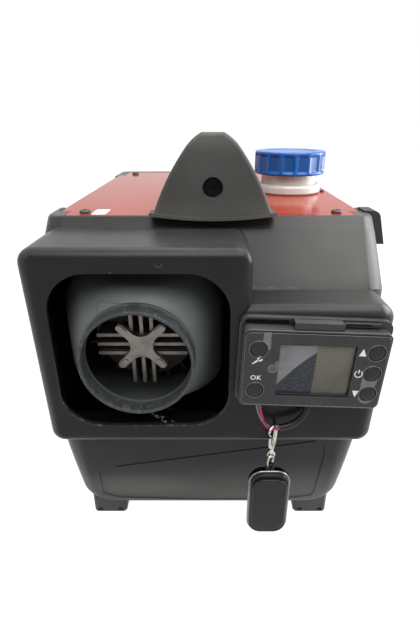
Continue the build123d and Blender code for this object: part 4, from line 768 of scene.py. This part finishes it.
# the handle's bolts are far darker than the screws' black: painted shade in the fin's holes
boltInShade = glossBlack("boltInShade", (0.002, 0.002, 0.002), 0.5, 0.0, 0.1)
tankFinish = tankPlastic()
capBlue = bluePlastic()
caseLook = {
    "roughness": 0.28,
    "specular": 0.4,
    "grain": 3000.0,
    "bump": 0.03,
    "dustAndSheen": 0.4,
    "dustAndSheenTone": (0.15, 0.15, 0.15),
}
controllerCase = mouldedBlack("controllerCase", (0.012, 0.012, 0.013), caseLook)
lensFinish = lensPlastic()
lcdFinish = lcdGlass()
labelPaper = paperLabel()
printWhite = whitePrint()
fobGloss = glossBlack("fobGloss", (0.0085, 0.0088, 0.0095), 0.2, 0.0, 0.2)
chrome = chromePlate("chrome", (0.52, 0.5, 0.455), (0.15, 0.14, 0.12), 0.1)
smokedChrome = chromePlate("smokedChrome", (0.2, 0.2, 0.205), (0.09, 0.09, 0.095), 0.14)
sleeveCoat = wireCoat("sleeveCoat", (0.005, 0.005, 0.006), (0.014, 0.014, 0.015), 0.2)
redCoat = wireCoat("redCoat", (0.2, 0.004, 0.028), (0.3, 0.01, 0.05))
greyCoat = wireCoat("greyCoat", (0.1, 0.12, 0.17), (0.16, 0.19, 0.25))
print("finishes ready")

# cords: the same points as the solids they stand for, in millimetres
cordRoutes = {
    "leadSleeve": {
        "node": "lead_sleeve",
        "diameter": 4.6,
        "length": 30.0,
        "material": sleeveCoat,
        "stiffness": "medium",
        "points": [
            (68.5, -190.8, 171.2),
            (67.4, -191.6, 166.7),
            (64.8, -192.9, 161.8),
            (60.5, -194.2, 157.3),
            (54.9, -195.0, 154.2),
            (48.6, -195.0, 152.9),
        ],
    },
    "redWire": {
        "node": "red_wire",
        "diameter": 1.9,
        "length": 31.5,
        "material": redCoat,
        "stiffness": "limp",
        "points": [
            (33.7, -196.5, 174.9),
            (33.9, -196.5, 170.4),
            (34.9, -196.4, 165.2),
            (36.7, -196.2, 159.5),
            (38.9, -196.0, 154.3),
            (43.5, -196.0, 151.7),
            (48.5, -196.0, 152.87),
        ],
    },
    "greyWire": {
        "node": "grey_wire",
        "diameter": 1.9,
        "length": 32.3,
        "material": greyCoat,
        "stiffness": "limp",
        "points": [
            (31.6, -194.5, 174.9),
            (31.9, -194.4, 170.6),
            (33.2, -194.3, 165.4),
            (35.6, -194.1, 159.7),
            (38.5, -194.0, 154.5),
            (43.5, -194.0, 151.7),
            (48.5, -194.0, 152.87),
        ],
    },
}


def makeCord(name, facts):
    curve = bpy.data.curves.new(name, "CURVE")
    curve.dimensions = "3D"
    curve.bevel_depth = facts["diameter"] / 2 * mm
    curve.bevel_resolution = 6
    curve.resolution_u = 16
    curve.use_fill_caps = True
    spline = curve.splines.new("NURBS")
    spline.points.add(len(facts["points"]) - 1)
    for point, (x, y, z) in zip(spline.points, facts["points"]):
        point.co = (x * mm, y * mm, z * mm, 1.0)
    spline.order_u = 3
    spline.use_endpoint_u = True
    curve.materials.append(facts["material"])
    cord = addObject(name, curve, "case")
    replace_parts(cord, facts["node"])
    [value * mm for value in facts["points"][0]]
    facts["length"] * mm
    facts["diameter"] * mm


for cordName, cordFacts in cordRoutes.items():
    makeCord(cordName, cordFacts)
print("cords laid")


# the tank's cap
def capProfile():
    # half section of the cap from the bore's roof round the wall to the dished top: (radius, height)
    r, h, bore = cap["radius"], cap["height"], cap["bore"]
    dish, bend = cap["dishRadius"], cap["topRound"]
    profile = [(0, cap["roof"]), (bore, cap["roof"]), (bore, 0.5), (bore + 0.4, 0)]
    profile += [(r - 1.2, 0), (r - 0.5, 0.25), (r - 0.1, 0.8), (r, 1.4)]
    profile += [(r, 1.8 + 0.55 * step) for step in range(28)]
    for degrees in range(15, 91, 15):
        angle = radians(degrees)
        profile.append((r - bend + bend * cos(angle), h - bend + bend * sin(angle)))
    profile += [(dish + 1.6, h), (dish + 0.7, h - 0.15), (dish, h - 0.7)]
    return profile + [(dish - 0.6, h - 0.85), (0, h - 0.8)]


def fluteDepthAt(turn, up):
    # how deep a flute is at this share of a turn and this height: flutes end in rounded scoops
    across = abs(2 * ((turn * cap["flutes"]) % 1.0) - 1) / (1 - cap["ribShare"])
    if across >= 1:
        return 0.0
    foot = min(max((up - cap["fluteFoot"]) / 1.8, 0), 1)
    head = min(max((cap["height"] - cap["fluteHead"] - 0.5 * across**2 - up) / 1.2, 0), 1)
    return cap["fluteDepth"] * (1 - across**2) ** 0.5 * (foot * head) ** 0.6


def makeCap():
    bm = turned(capProfile(), (0, 0, 1), cap["middle"], steps=cap["flutes"] * 16)
    middle = Vector(cap["middle"]) * mm
    for vert in bm.verts:
        away = vert.co - middle
        up = away.z / mm
        flat = Vector((away.x, away.y, 0))
        onWall = flat.length >= (cap["radius"] - 0.05) * mm and 1.6 < up < cap["height"] - 2.0
        if onWall:
            turn = away.to_2d().angle_signed(Vector((1, 0))) / (2 * pi)
            vert.co -= flat.normalized() * fluteDepthAt(turn, up) * mm
    made = meshFrom(bm, "fuelCap", "cap", capBlue)
    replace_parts(made, "fuel_cap")


makeCap()
print("cap turned")

# controller: domed buttons, in millimetres
dome = {"collar": 6.2, "collarBackY": -196.7, "collarFrontY": -198.3, "crownY": -201.58}
buttonFinish = glossBlack("buttonFinish", (0.011, 0.011, 0.012), 0.28, 0.0, 0.22)


def makeButton(key, place):
    # collar behind the face, then a short wall and a low dome through its hole
    r, collar = panel["buttonRadius"], dome["collar"]
    back, front, crown = -dome["collarBackY"], -dome["collarFrontY"], -dome["crownY"]
    profile = [(0, back), (collar - 0.1, back), (collar, back + 0.1), (collar, front - 0.1)]
    profile += [(collar - 0.1, front), (r - 0.05, front)]
    profile += [(r - 0.05, crown - 1.15), (r - 0.25, crown - 0.8), (r - 0.75, crown - 0.45)]
    profile += [(r - 1.6, crown - 0.2), (r - 3.0, crown - 0.06), (r - 4.2, crown - 0.01), (0, crown)]
    bm = turned(profile, (0, -1, 0), onPanel(*place, 0.0), steps=72)
    made = meshFrom(bm, "button" + key.capitalize() + "Dome", "button_" + key, buttonFinish)
    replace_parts(made, "button_" + key)


for buttonKey, buttonPlace in panel["buttons"].items():
    makeButton(buttonKey, buttonPlace)

# raised rims round the buttons, and the bead along the edge of the controller's sheet
rims = {
    "gap": 0.42,
    "thick": 0.26,
    "beadInset": 1.62,
    "beadCorner": 3.4,
    "beadThick": 0.17,
    "beadSink": 0.02,
}
rimFinish = glossBlack("rimFinish", (0.045, 0.045, 0.047), 0.16, 0.4, 0.7)


def makeRim(place):
    steps = 12
    radius, thick = panel["buttonRadius"] + rims["gap"], rims["thick"]
    around = [2 * pi * step / steps for step in range(steps + 1)]
    section = [(radius + thick * cos(a), -panel["faceY"] + thick * 0.7 * sin(a)) for a in around]
    return turned(section, (0, -1, 0), onPanel(*place, 0.0), steps=72)


def makeBead():
    # a small ring swept round the sheet: a quarter turn at each corner, then along to the next
    halfWidth = panel["halfWidth"] - rims["beadInset"] - rims["beadCorner"]
    halfHeight = panel["halfHeight"] - rims["beadInset"] - rims["beadCorner"]
    bm = bmesh.new()
    ring = bmesh.ops.create_circle(bm, segments=8, radius=rims["beadThick"] * mm)["verts"]
    lay = Matrix.Translation(Vector((halfWidth + rims["beadCorner"], 0, halfHeight)) * mm)
    bmesh.ops.transform(bm, matrix=lay, verts=ring)
    end = ring + list(bm.edges)
    for cornerX, cornerZ, alongX, alongZ in (
        (halfWidth, halfHeight, -2 * halfWidth, 0),
        (-halfWidth, halfHeight, 0, -2 * halfHeight),
        (-halfWidth, -halfHeight, 2 * halfWidth, 0),
        (halfWidth, -halfHeight, 0, 2 * halfHeight),
    ):
        corner = Vector((cornerX, 0, cornerZ)) * mm
        quarter = {"axis": (0, -1, 0), "angle": pi / 2, "steps": 8}
        end = bmesh.ops.spin(bm, geom=end, cent=corner, use_merge=False, **quarter)["geom_last"]
        edges = [item for item in end if isinstance(item, bmesh.types.BMEdge)]
        end = bmesh.ops.extrude_edge_only(bm, edges=edges)["geom"]
        verts = [item for item in end if isinstance(item, bmesh.types.BMVert)]
        bmesh.ops.translate(bm, verts=verts, vec=Vector((alongX, 0, alongZ)) * mm)
        onEnd = set(verts)
        end = verts + [e for e in bm.edges if onEnd.issuperset(e.verts)]
    spot = onPanel(0, 0, panel["faceY"] + rims["beadSink"]) * mm
    tilt = Matrix.Rotation(panel["roll"], 4, "Y")
    bmesh.ops.transform(bm, matrix=Matrix.Translation(spot) @ tilt, verts=bm.verts)
    return bm


rimParts = [makeRim(buttonPlace) for buttonPlace in panel["buttons"].values()] + [makeBead()]
meshFrom(joined(rimParts), "panelRims", "case", rimFinish)

# plain signs beside the buttons: places on the controller's axes, sizes in millimetres
signs = {
    "depth": 0.05,
    "up": {"at": (28.9, 15.1), "size": (4.7, 5.2)},
    "down": {"at": (29.2, -15.8), "size": (4.4, 5.0)},
    "power": {"at": (28.8, -0.6), "ring": (2.05, 2.7), "bar": (-0.33, 0.5, 0.33, 3.2)},
    "wrench": {
        "at": (-36.4, 6.9),
        "turn": radians(-38),
        "shank": (-3.4, -0.55, 0.9, 0.55),
        "tail": (-2.68, -2.1),
        "tailRadius": 0.62,
        "head": (1.5, 1.17),
        "jaw": (0.75, 1.75),
    },
    "ok": {"at": (-36.6, -5.8), "height": 3.1, "weight": 0.06, "spacing": 1.12},
}


def flatPiece(bm, place, turn=0.0):
    # give a flat outline drawn round the origin in X and Z a little depth, and set it on the face
    moved = bmesh.ops.extrude_face_region(bm, geom=list(bm.faces))
    raised = [item for item in moved["geom"] if isinstance(item, bmesh.types.BMVert)]
    bmesh.ops.translate(bm, verts=raised, vec=(0, -signs["depth"] * mm, 0))
    spot = onPanel(*place, panel["faceY"]) * mm
    tilt = Matrix.Rotation(panel["roll"] + turn, 4, "Y")
    bmesh.ops.transform(bm, matrix=Matrix.Translation(spot) @ tilt, verts=bm.verts)
    return bm


def triangle(width, height, upward):
    # arrow head that points up or down
    bm = bmesh.new()
    flip = 1 if upward else -1
    corners = [(-width / 2, -height / 2), (width / 2, -height / 2), (0, height / 2)]
    bm.faces.new([bm.verts.new((x * mm, 0, z * flip * mm)) for x, z in corners])
    return bm


def arcBand(inner, outer, start, sweep):
    # part of a flat ring, angles in degrees from X
    bm = bmesh.new()
    c, s = cos(radians(start)), sin(radians(start))
    ends = [bm.verts.new((r * c * mm, 0, r * s * mm)) for r in (inner, outer)]
    edge = bm.edges.new(ends)
    whole = abs(sweep) >= 360
    bmesh.ops.spin(
        bm,
        geom=ends + [edge],
        cent=(0, 0, 0),
        axis=(0, -1, 0),
        angle=radians(sweep),
        steps=32,
        use_merge=whole,
    )
    return bm


def bar(x0, z0, x1, z1):
    # upright rectangle between two corners
    bm = bmesh.new()
    corners = [(x0, z0), (x1, z0), (x1, z1), (x0, z1)]
    bm.faces.new([bm.verts.new((x * mm, 0, z * mm)) for x, z in corners])
    return bm


def okText():
    # the two plain letters beside the confirm button
    facts = signs["ok"]
    capitalShare = 0.69  # height of a capital as a share of the font's size
    curve = bpy.data.curves.new("okText", "FONT")
    curve.body = "OK"
    curve.align_x = "CENTER"
    curve.align_y = "CENTER"
    curve.size = facts["height"] / capitalShare * mm
    curve.offset = facts["weight"] * mm
    curve.space_character = facts["spacing"]
    text = bpy.data.objects.new("okText", curve)
    mesh = bpy.data.meshes.new_from_object(text)
    bpy.data.objects.remove(text)
    bm = bmesh.new()
    bm.from_mesh(mesh)
    bmesh.ops.transform(bm, matrix=Matrix.Rotation(pi / 2, 4, "X"), verts=bm.verts)
    return bm


def makeSigns():
    up, down, power, wrench = (signs[key] for key in ("up", "down", "power", "wrench"))
    middle = Vector(wrench["at"])
    tail, head = middle + Vector(wrench["tail"]), middle + Vector(wrench["head"])
    parts = [
        flatPiece(triangle(*up["size"], True), up["at"]),
        flatPiece(triangle(*down["size"], False), down["at"]),
        flatPiece(arcBand(*power["ring"], 125, 290), power["at"]),
        flatPiece(bar(*power["bar"]), power["at"]),
        flatPiece(okText(), signs["ok"]["at"]),
        flatPiece(bar(*wrench["shank"]), middle, wrench["turn"]),
        flatPiece(arcBand(0.0, wrench["tailRadius"], 0, 360), tail),
        flatPiece(arcBand(*wrench["jaw"], 40, 280), head, wrench["turn"]),
    ]
    made = meshFrom(joined(parts), "panelSigns", "case", printWhite, smooth=False)


makeSigns()
print("controller dressed")

# swivel clasp: a long claw with a spring gate, its eye, and the link to the fob.
# Points are (across, up) in the clasp's own plane, in millimetres, with a radius for each
clasp = {
    "x": 44.0,
    "y": -195.0,
    "turn": radians(38),
    "claw": {
        "points": [
            (-4.8, 150.8),
            (-4.5, 152.6),
            (-2.8, 154.0),
            (0, 154.7),
            (2.7, 153.9),
            (4.1, 151.3),
            (4.2, 147.0),
            (3.7, 142.0),
            (2.8, 137.6),
            (1.3, 134.4),
            (0.0, 132.9),
            (0, 131.3),
        ],
        "radii": [0.75, 0.85, 0.95, 1.05, 1.15, 1.3, 1.45, 1.5, 1.45, 1.35, 1.4, 1.3],
    },
    "jaw": {
        "points": [(0.3, 133.4), (-1.6, 135.2), (-3.0, 138.5), (-3.3, 142.0), (-2.9, 145.4)],
        "radii": [1.2, 1.2, 1.15, 1.05, 0.8],
    },
    "gate": {
        "points": [(-2.71, 146.73), (-3.6, 147.6), (-4.6, 148.8), (-4.9, 150.1)],
        "radii": [0.7, 0.62, 0.55, 0.5],
    },
    "eye": {"z": 128.6, "radius": 2.4, "thick": 0.7},
    "link": {"z": 123.1, "halfWidth": 4.4, "halfHeight": 5.3, "thick": 0.62, "points": 12},
}


def inClasp(points):
    # from the clasp's own plane (across, up) to the shared frame, the plane turned about the upright
    c, s = cos(clasp["turn"]), sin(clasp["turn"])
    return [(clasp["x"] + a * s, clasp["y"] + a * c, z) for a, z in points]


def claspRod(name, body, key):
    facts = clasp[key]
    return rod(name, body, chrome, inClasp(facts["points"]), facts["radii"])


def claspEye():
    # swivel collar above a small ring
    eye = clasp["eye"]
    spot = (clasp["x"], clasp["y"], eye["z"])
    collar = [(0, 3.9), (0.9, 3.9), (1.5, 3.5), (1.7, 2.9), (1.5, 2.4)]
    collar += [(1.9, 2.2), (1.9, 1.5), (1.2, 1.2), (0, 1.2)]
    around = [2 * pi * step / 10 for step in range(11)]
    section = [(eye["radius"] + eye["thick"] * cos(a), eye["thick"] * sin(a)) for a in around]
    return joined([turned(collar, (0, 0, 1), spot, steps=40), turned(section, (0, -1, 0), spot, steps=36)])


def claspRing():
    # oval link as a closed rod
    link = clasp["link"]
    turns = [2 * pi * step / link["points"] for step in range(link["points"])]
    oval = [(link["halfWidth"] * cos(a), link["z"] + link["halfHeight"] * sin(a)) for a in turns]
    return rod("claspLink", "link", chrome, inClasp(oval), [link["thick"]] * len(oval), closed=True)


def makeClasp():
    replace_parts(claspRod("claspClaw", "clasp", "claw"), "clasp_hook")
    claspRod("claspJaw", "clasp", "jaw")
    meshFrom(claspEye(), "claspSwivel", "clasp", chrome)
    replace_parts(claspRod("claspGate", "gate", "gate"), "clasp_gate")
    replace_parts(claspRing(), "clasp_link")


makeClasp()
print("clasp formed")

# blank paper label on the plate, in millimetres
label = {
    "x": -81.6,
    "y": -110.2,
    "z": 285.0,
    "width": 10.4,
    "depth": 18.5,
    "thick": 0.14,
    "corner": 1.0,
    "skew": -0.012,
    "liftFrom": 11.0,
    "liftRate": 0.05,
}


def makeLabel():
    bm = bmesh.new()
    bmesh.ops.create_grid(bm, x_segments=8, y_segments=10, size=0.5)
    bmesh.ops.scale(bm, vec=(label["width"] * mm, label["depth"] * mm, 1), verts=bm.verts)
    corners = [v for v in bm.verts if len(v.link_edges) == 2]
    rounding = {"offset": label["corner"] * mm, "segments": 4, "profile": 0.5, "material": -1}
    bmesh.ops.bevel(bm, geom=corners, affect="VERTICES", **rounding)
    for vert in bm.verts:
        # one corner has lifted slightly
        outward = vert.co.x / mm + vert.co.y / mm - label["liftFrom"]
        vert.co.z = max(outward, 0.0) * label["liftRate"] * mm
    moved = bmesh.ops.extrude_face_region(bm, geom=list(bm.faces))
    raised = [item for item in moved["geom"] if isinstance(item, bmesh.types.BMVert)]
    bmesh.ops.translate(bm, verts=raised, vec=(0, 0, label["thick"] * mm))
    spot = Vector((label["x"], label["y"], label["z"] + 0.02)) * mm
    turn = Matrix.Rotation(label["skew"], 4, "Z")
    bmesh.ops.transform(bm, matrix=Matrix.Translation(spot) @ turn, verts=bm.verts)
    meshFrom(bm, "plateLabel", "case", labelPaper, smooth=False)


makeLabel()
print("label laid")

# foam strips in the two upright seams between the casing and the front cowl
seam = {"x": 111.75, "width": 1.1, "front": -94.5, "back": -91.68, "low": 20.0, "high": 276.0}


def makeSeals():
    size = Vector((seam["width"], seam["back"] - seam["front"], seam["high"] - seam["low"]))
    middleY, middleZ = (seam["back"] + seam["front"]) / 2, (seam["high"] + seam["low"]) / 2
    strips = []
    for side in (-1, 1):
        bm = bmesh.new()
        bmesh.ops.create_cube(bm, size=1)
        bmesh.ops.scale(bm, vec=size * mm, verts=bm.verts)
        bmesh.ops.translate(bm, vec=Vector((side * seam["x"], middleY, middleZ)) * mm, verts=bm.verts)
        strips.append(bm)
    meshFrom(joined(strips), "seamSeals", "case", rubber, smooth=False)


makeSeals()
print("seams sealed")

# which finish each node of the frame gets; the replaced nodes need none
finishOf = {
    "front_cowl": cowlPlastic,
    "rear_cowl": cowlPlastic,
    "shoulder_guard": rubber,
    "casing": redPaint,
    "top_plate": redPaint,
    "case_screws": blackSteel,
    "feet": footPlastic,
    "handle_front_fin": handlePlastic,
    "handle_rear_fin": handlePlastic,
    "handle_grip": handlePlastic,
    "handle_bolts": boltInShade,
    "intake_grille": handlePlastic,
    "power_socket": handlePlastic,
    "outlet_hood": hoodFinish,
    "jacket_upper": hoodFinish,
    "jacket_lower": hoodFinish,
    "heat_exchanger": aluminium,
    "burner_tube": steel,
    "blower_housing": darkCasting,
    "glow_plug": steel,
    "motor": steel,
    "rotor_shaft": steel,
    "burner_impeller": darkCasting,
    "fan_wheel": handlePlastic,
    "core_cradle": blackSteel,
    "exhaust_pipe": steel,
    "air_pipe": handlePlastic,
    "fuel_tank": tankFinish,
    "neck_ring": tankFinish,
    "cap_liner": rubber,
    "fuel_pump": steel,
    "pump_plunger": steel,
    "pump_mount": rubber,
    "fuel_filter": tankFinish,
    "fuel_line": rubber,
    "control_unit": handlePlastic,
    "controller_back": controllerCase,
    "controller_front": controllerCase,
    "controller_lens": lensFinish,
    "lcd_panel": lcdFinish,
    "controller_board": footPlastic,
    "fob_case": fobGloss,
    "fob_frame": smokedChrome,
    "fob_cover": fobGloss,
    "fob_button_on": rubber,
    "fob_button_off": rubber,
    "fob_button_plus": rubber,
    "fob_button_minus": rubber,
}
for nodeName, finish in finishOf.items():
    for slot in nodes[nodeName].material_slots:
        slot.material = finish
print("nodes finished")

# studio: pale floor, white backdrop, soft lamps; sizes in metres, power in watts
studio = {
    "floorSize": 60.0,
    "worldLevel": 0.36,
    "shadowDepth": 0.16,
    "floorGlow": 1.16,
    "lamps": {
        "keyLamp": {"size": (1.5, 0.8), "power": 19.8, "spot": (0.2, -0.72, 1.25), "aim": (0, -0.1, 0.2)},
        "topLamp": {"size": (1.4, 1.0), "power": 12.0, "spot": (0.2, 0.25, 1.4), "aim": (0, 0, 0.2)},
        "rightLamp": {"size": (0.9, 0.7), "power": 18.0, "spot": (1.1, 0.1, 0.5), "aim": (0, -0.05, 0.2)},
        "leftLamp": {"size": (0.5, 0.9), "power": 3.0, "spot": (-1.1, -0.5, 0.8), "aim": (0, -0.1, 0.2)},
    },
}


def seenDirectly(flow):
    # one for rays from the camera, or mirrored or passed on to it by gloss and glass
    rays = flow.tree.nodes.new("ShaderNodeLightPath")
    camera, glossy, passed = (
        Flow(flow.tree, rays.outputs[key])
        for key in ("Is Camera Ray", "Is Glossy Ray", "Is Transmission Ray")
    )
    return camera.most(glossy).most(passed)


def plainFloor():
    # white where it is seen, with a little plain diffuse that keeps the object's shadow
    made = bpy.data.materials.new("floorWhite")
    made.use_nodes = True
    tree = made.node_tree
    flow = Flow(tree)
    tree.nodes.remove(tree.nodes["Principled BSDF"])
    white = flow.node("Emission", {}, {"Color": rgb(1, 1, 1), "Strength": studio["floorGlow"]})
    shadow = flow.node("BsdfDiffuse", {}, {"Color": rgb(0.85, 0.85, 0.85)})
    factor = seenDirectly(flow) * (1 - studio["shadowDepth"])
    mixed = flow.node("MixShader", {}, {0: factor, 1: shadow, 2: white})
    tree.links.new(mixed.socket, tree.nodes["Material Output"].inputs["Surface"])
    return made


def makeStage():
    bm = bmesh.new()
    bmesh.ops.create_grid(bm, x_segments=1, y_segments=1, size=studio["floorSize"] / 2)
    meshFrom(bm, "floor", None, plainFloor(), smooth=False, outward=False)


def makeLamp(name, facts):
    # soft rectangular lamp turned towards its aim
    lamp = bpy.data.lights.new(name, "AREA")
    lamp.shape = "RECTANGLE"
    lamp.size, lamp.size_y = facts["size"]
    lamp.energy = facts["power"]
    obj = bpy.data.objects.new(name, lamp)
    obj.location = facts["spot"]
    aim = Vector(facts["aim"]) - Vector(facts["spot"])
    obj.rotation_euler = aim.to_track_quat("-Z", "Y").to_euler()
    bpy.context.scene.collection.objects.link(obj)


def makeWorld():
    # white where it is seen, dimmer where it lights the object
    world = bpy.data.worlds.new("studioWorld")
    bpy.context.scene.world = world
    world.use_nodes = True
    tree = world.node_tree
    level = studio["worldLevel"]
    strength = seenDirectly(Flow(tree)) * (1 - level) + level
    backdrop = tree.nodes["Background"]
    backdrop.inputs["Color"].default_value = rgb(1, 1, 1)
    tree.links.new(strength.socket, backdrop.inputs["Strength"])


makeStage()
for lampName, lampFacts in studio["lamps"].items():
    makeLamp(lampName, lampFacts)
makeWorld()
bpy.context.scene.view_settings.view_transform = "Standard"
print("studio ready")
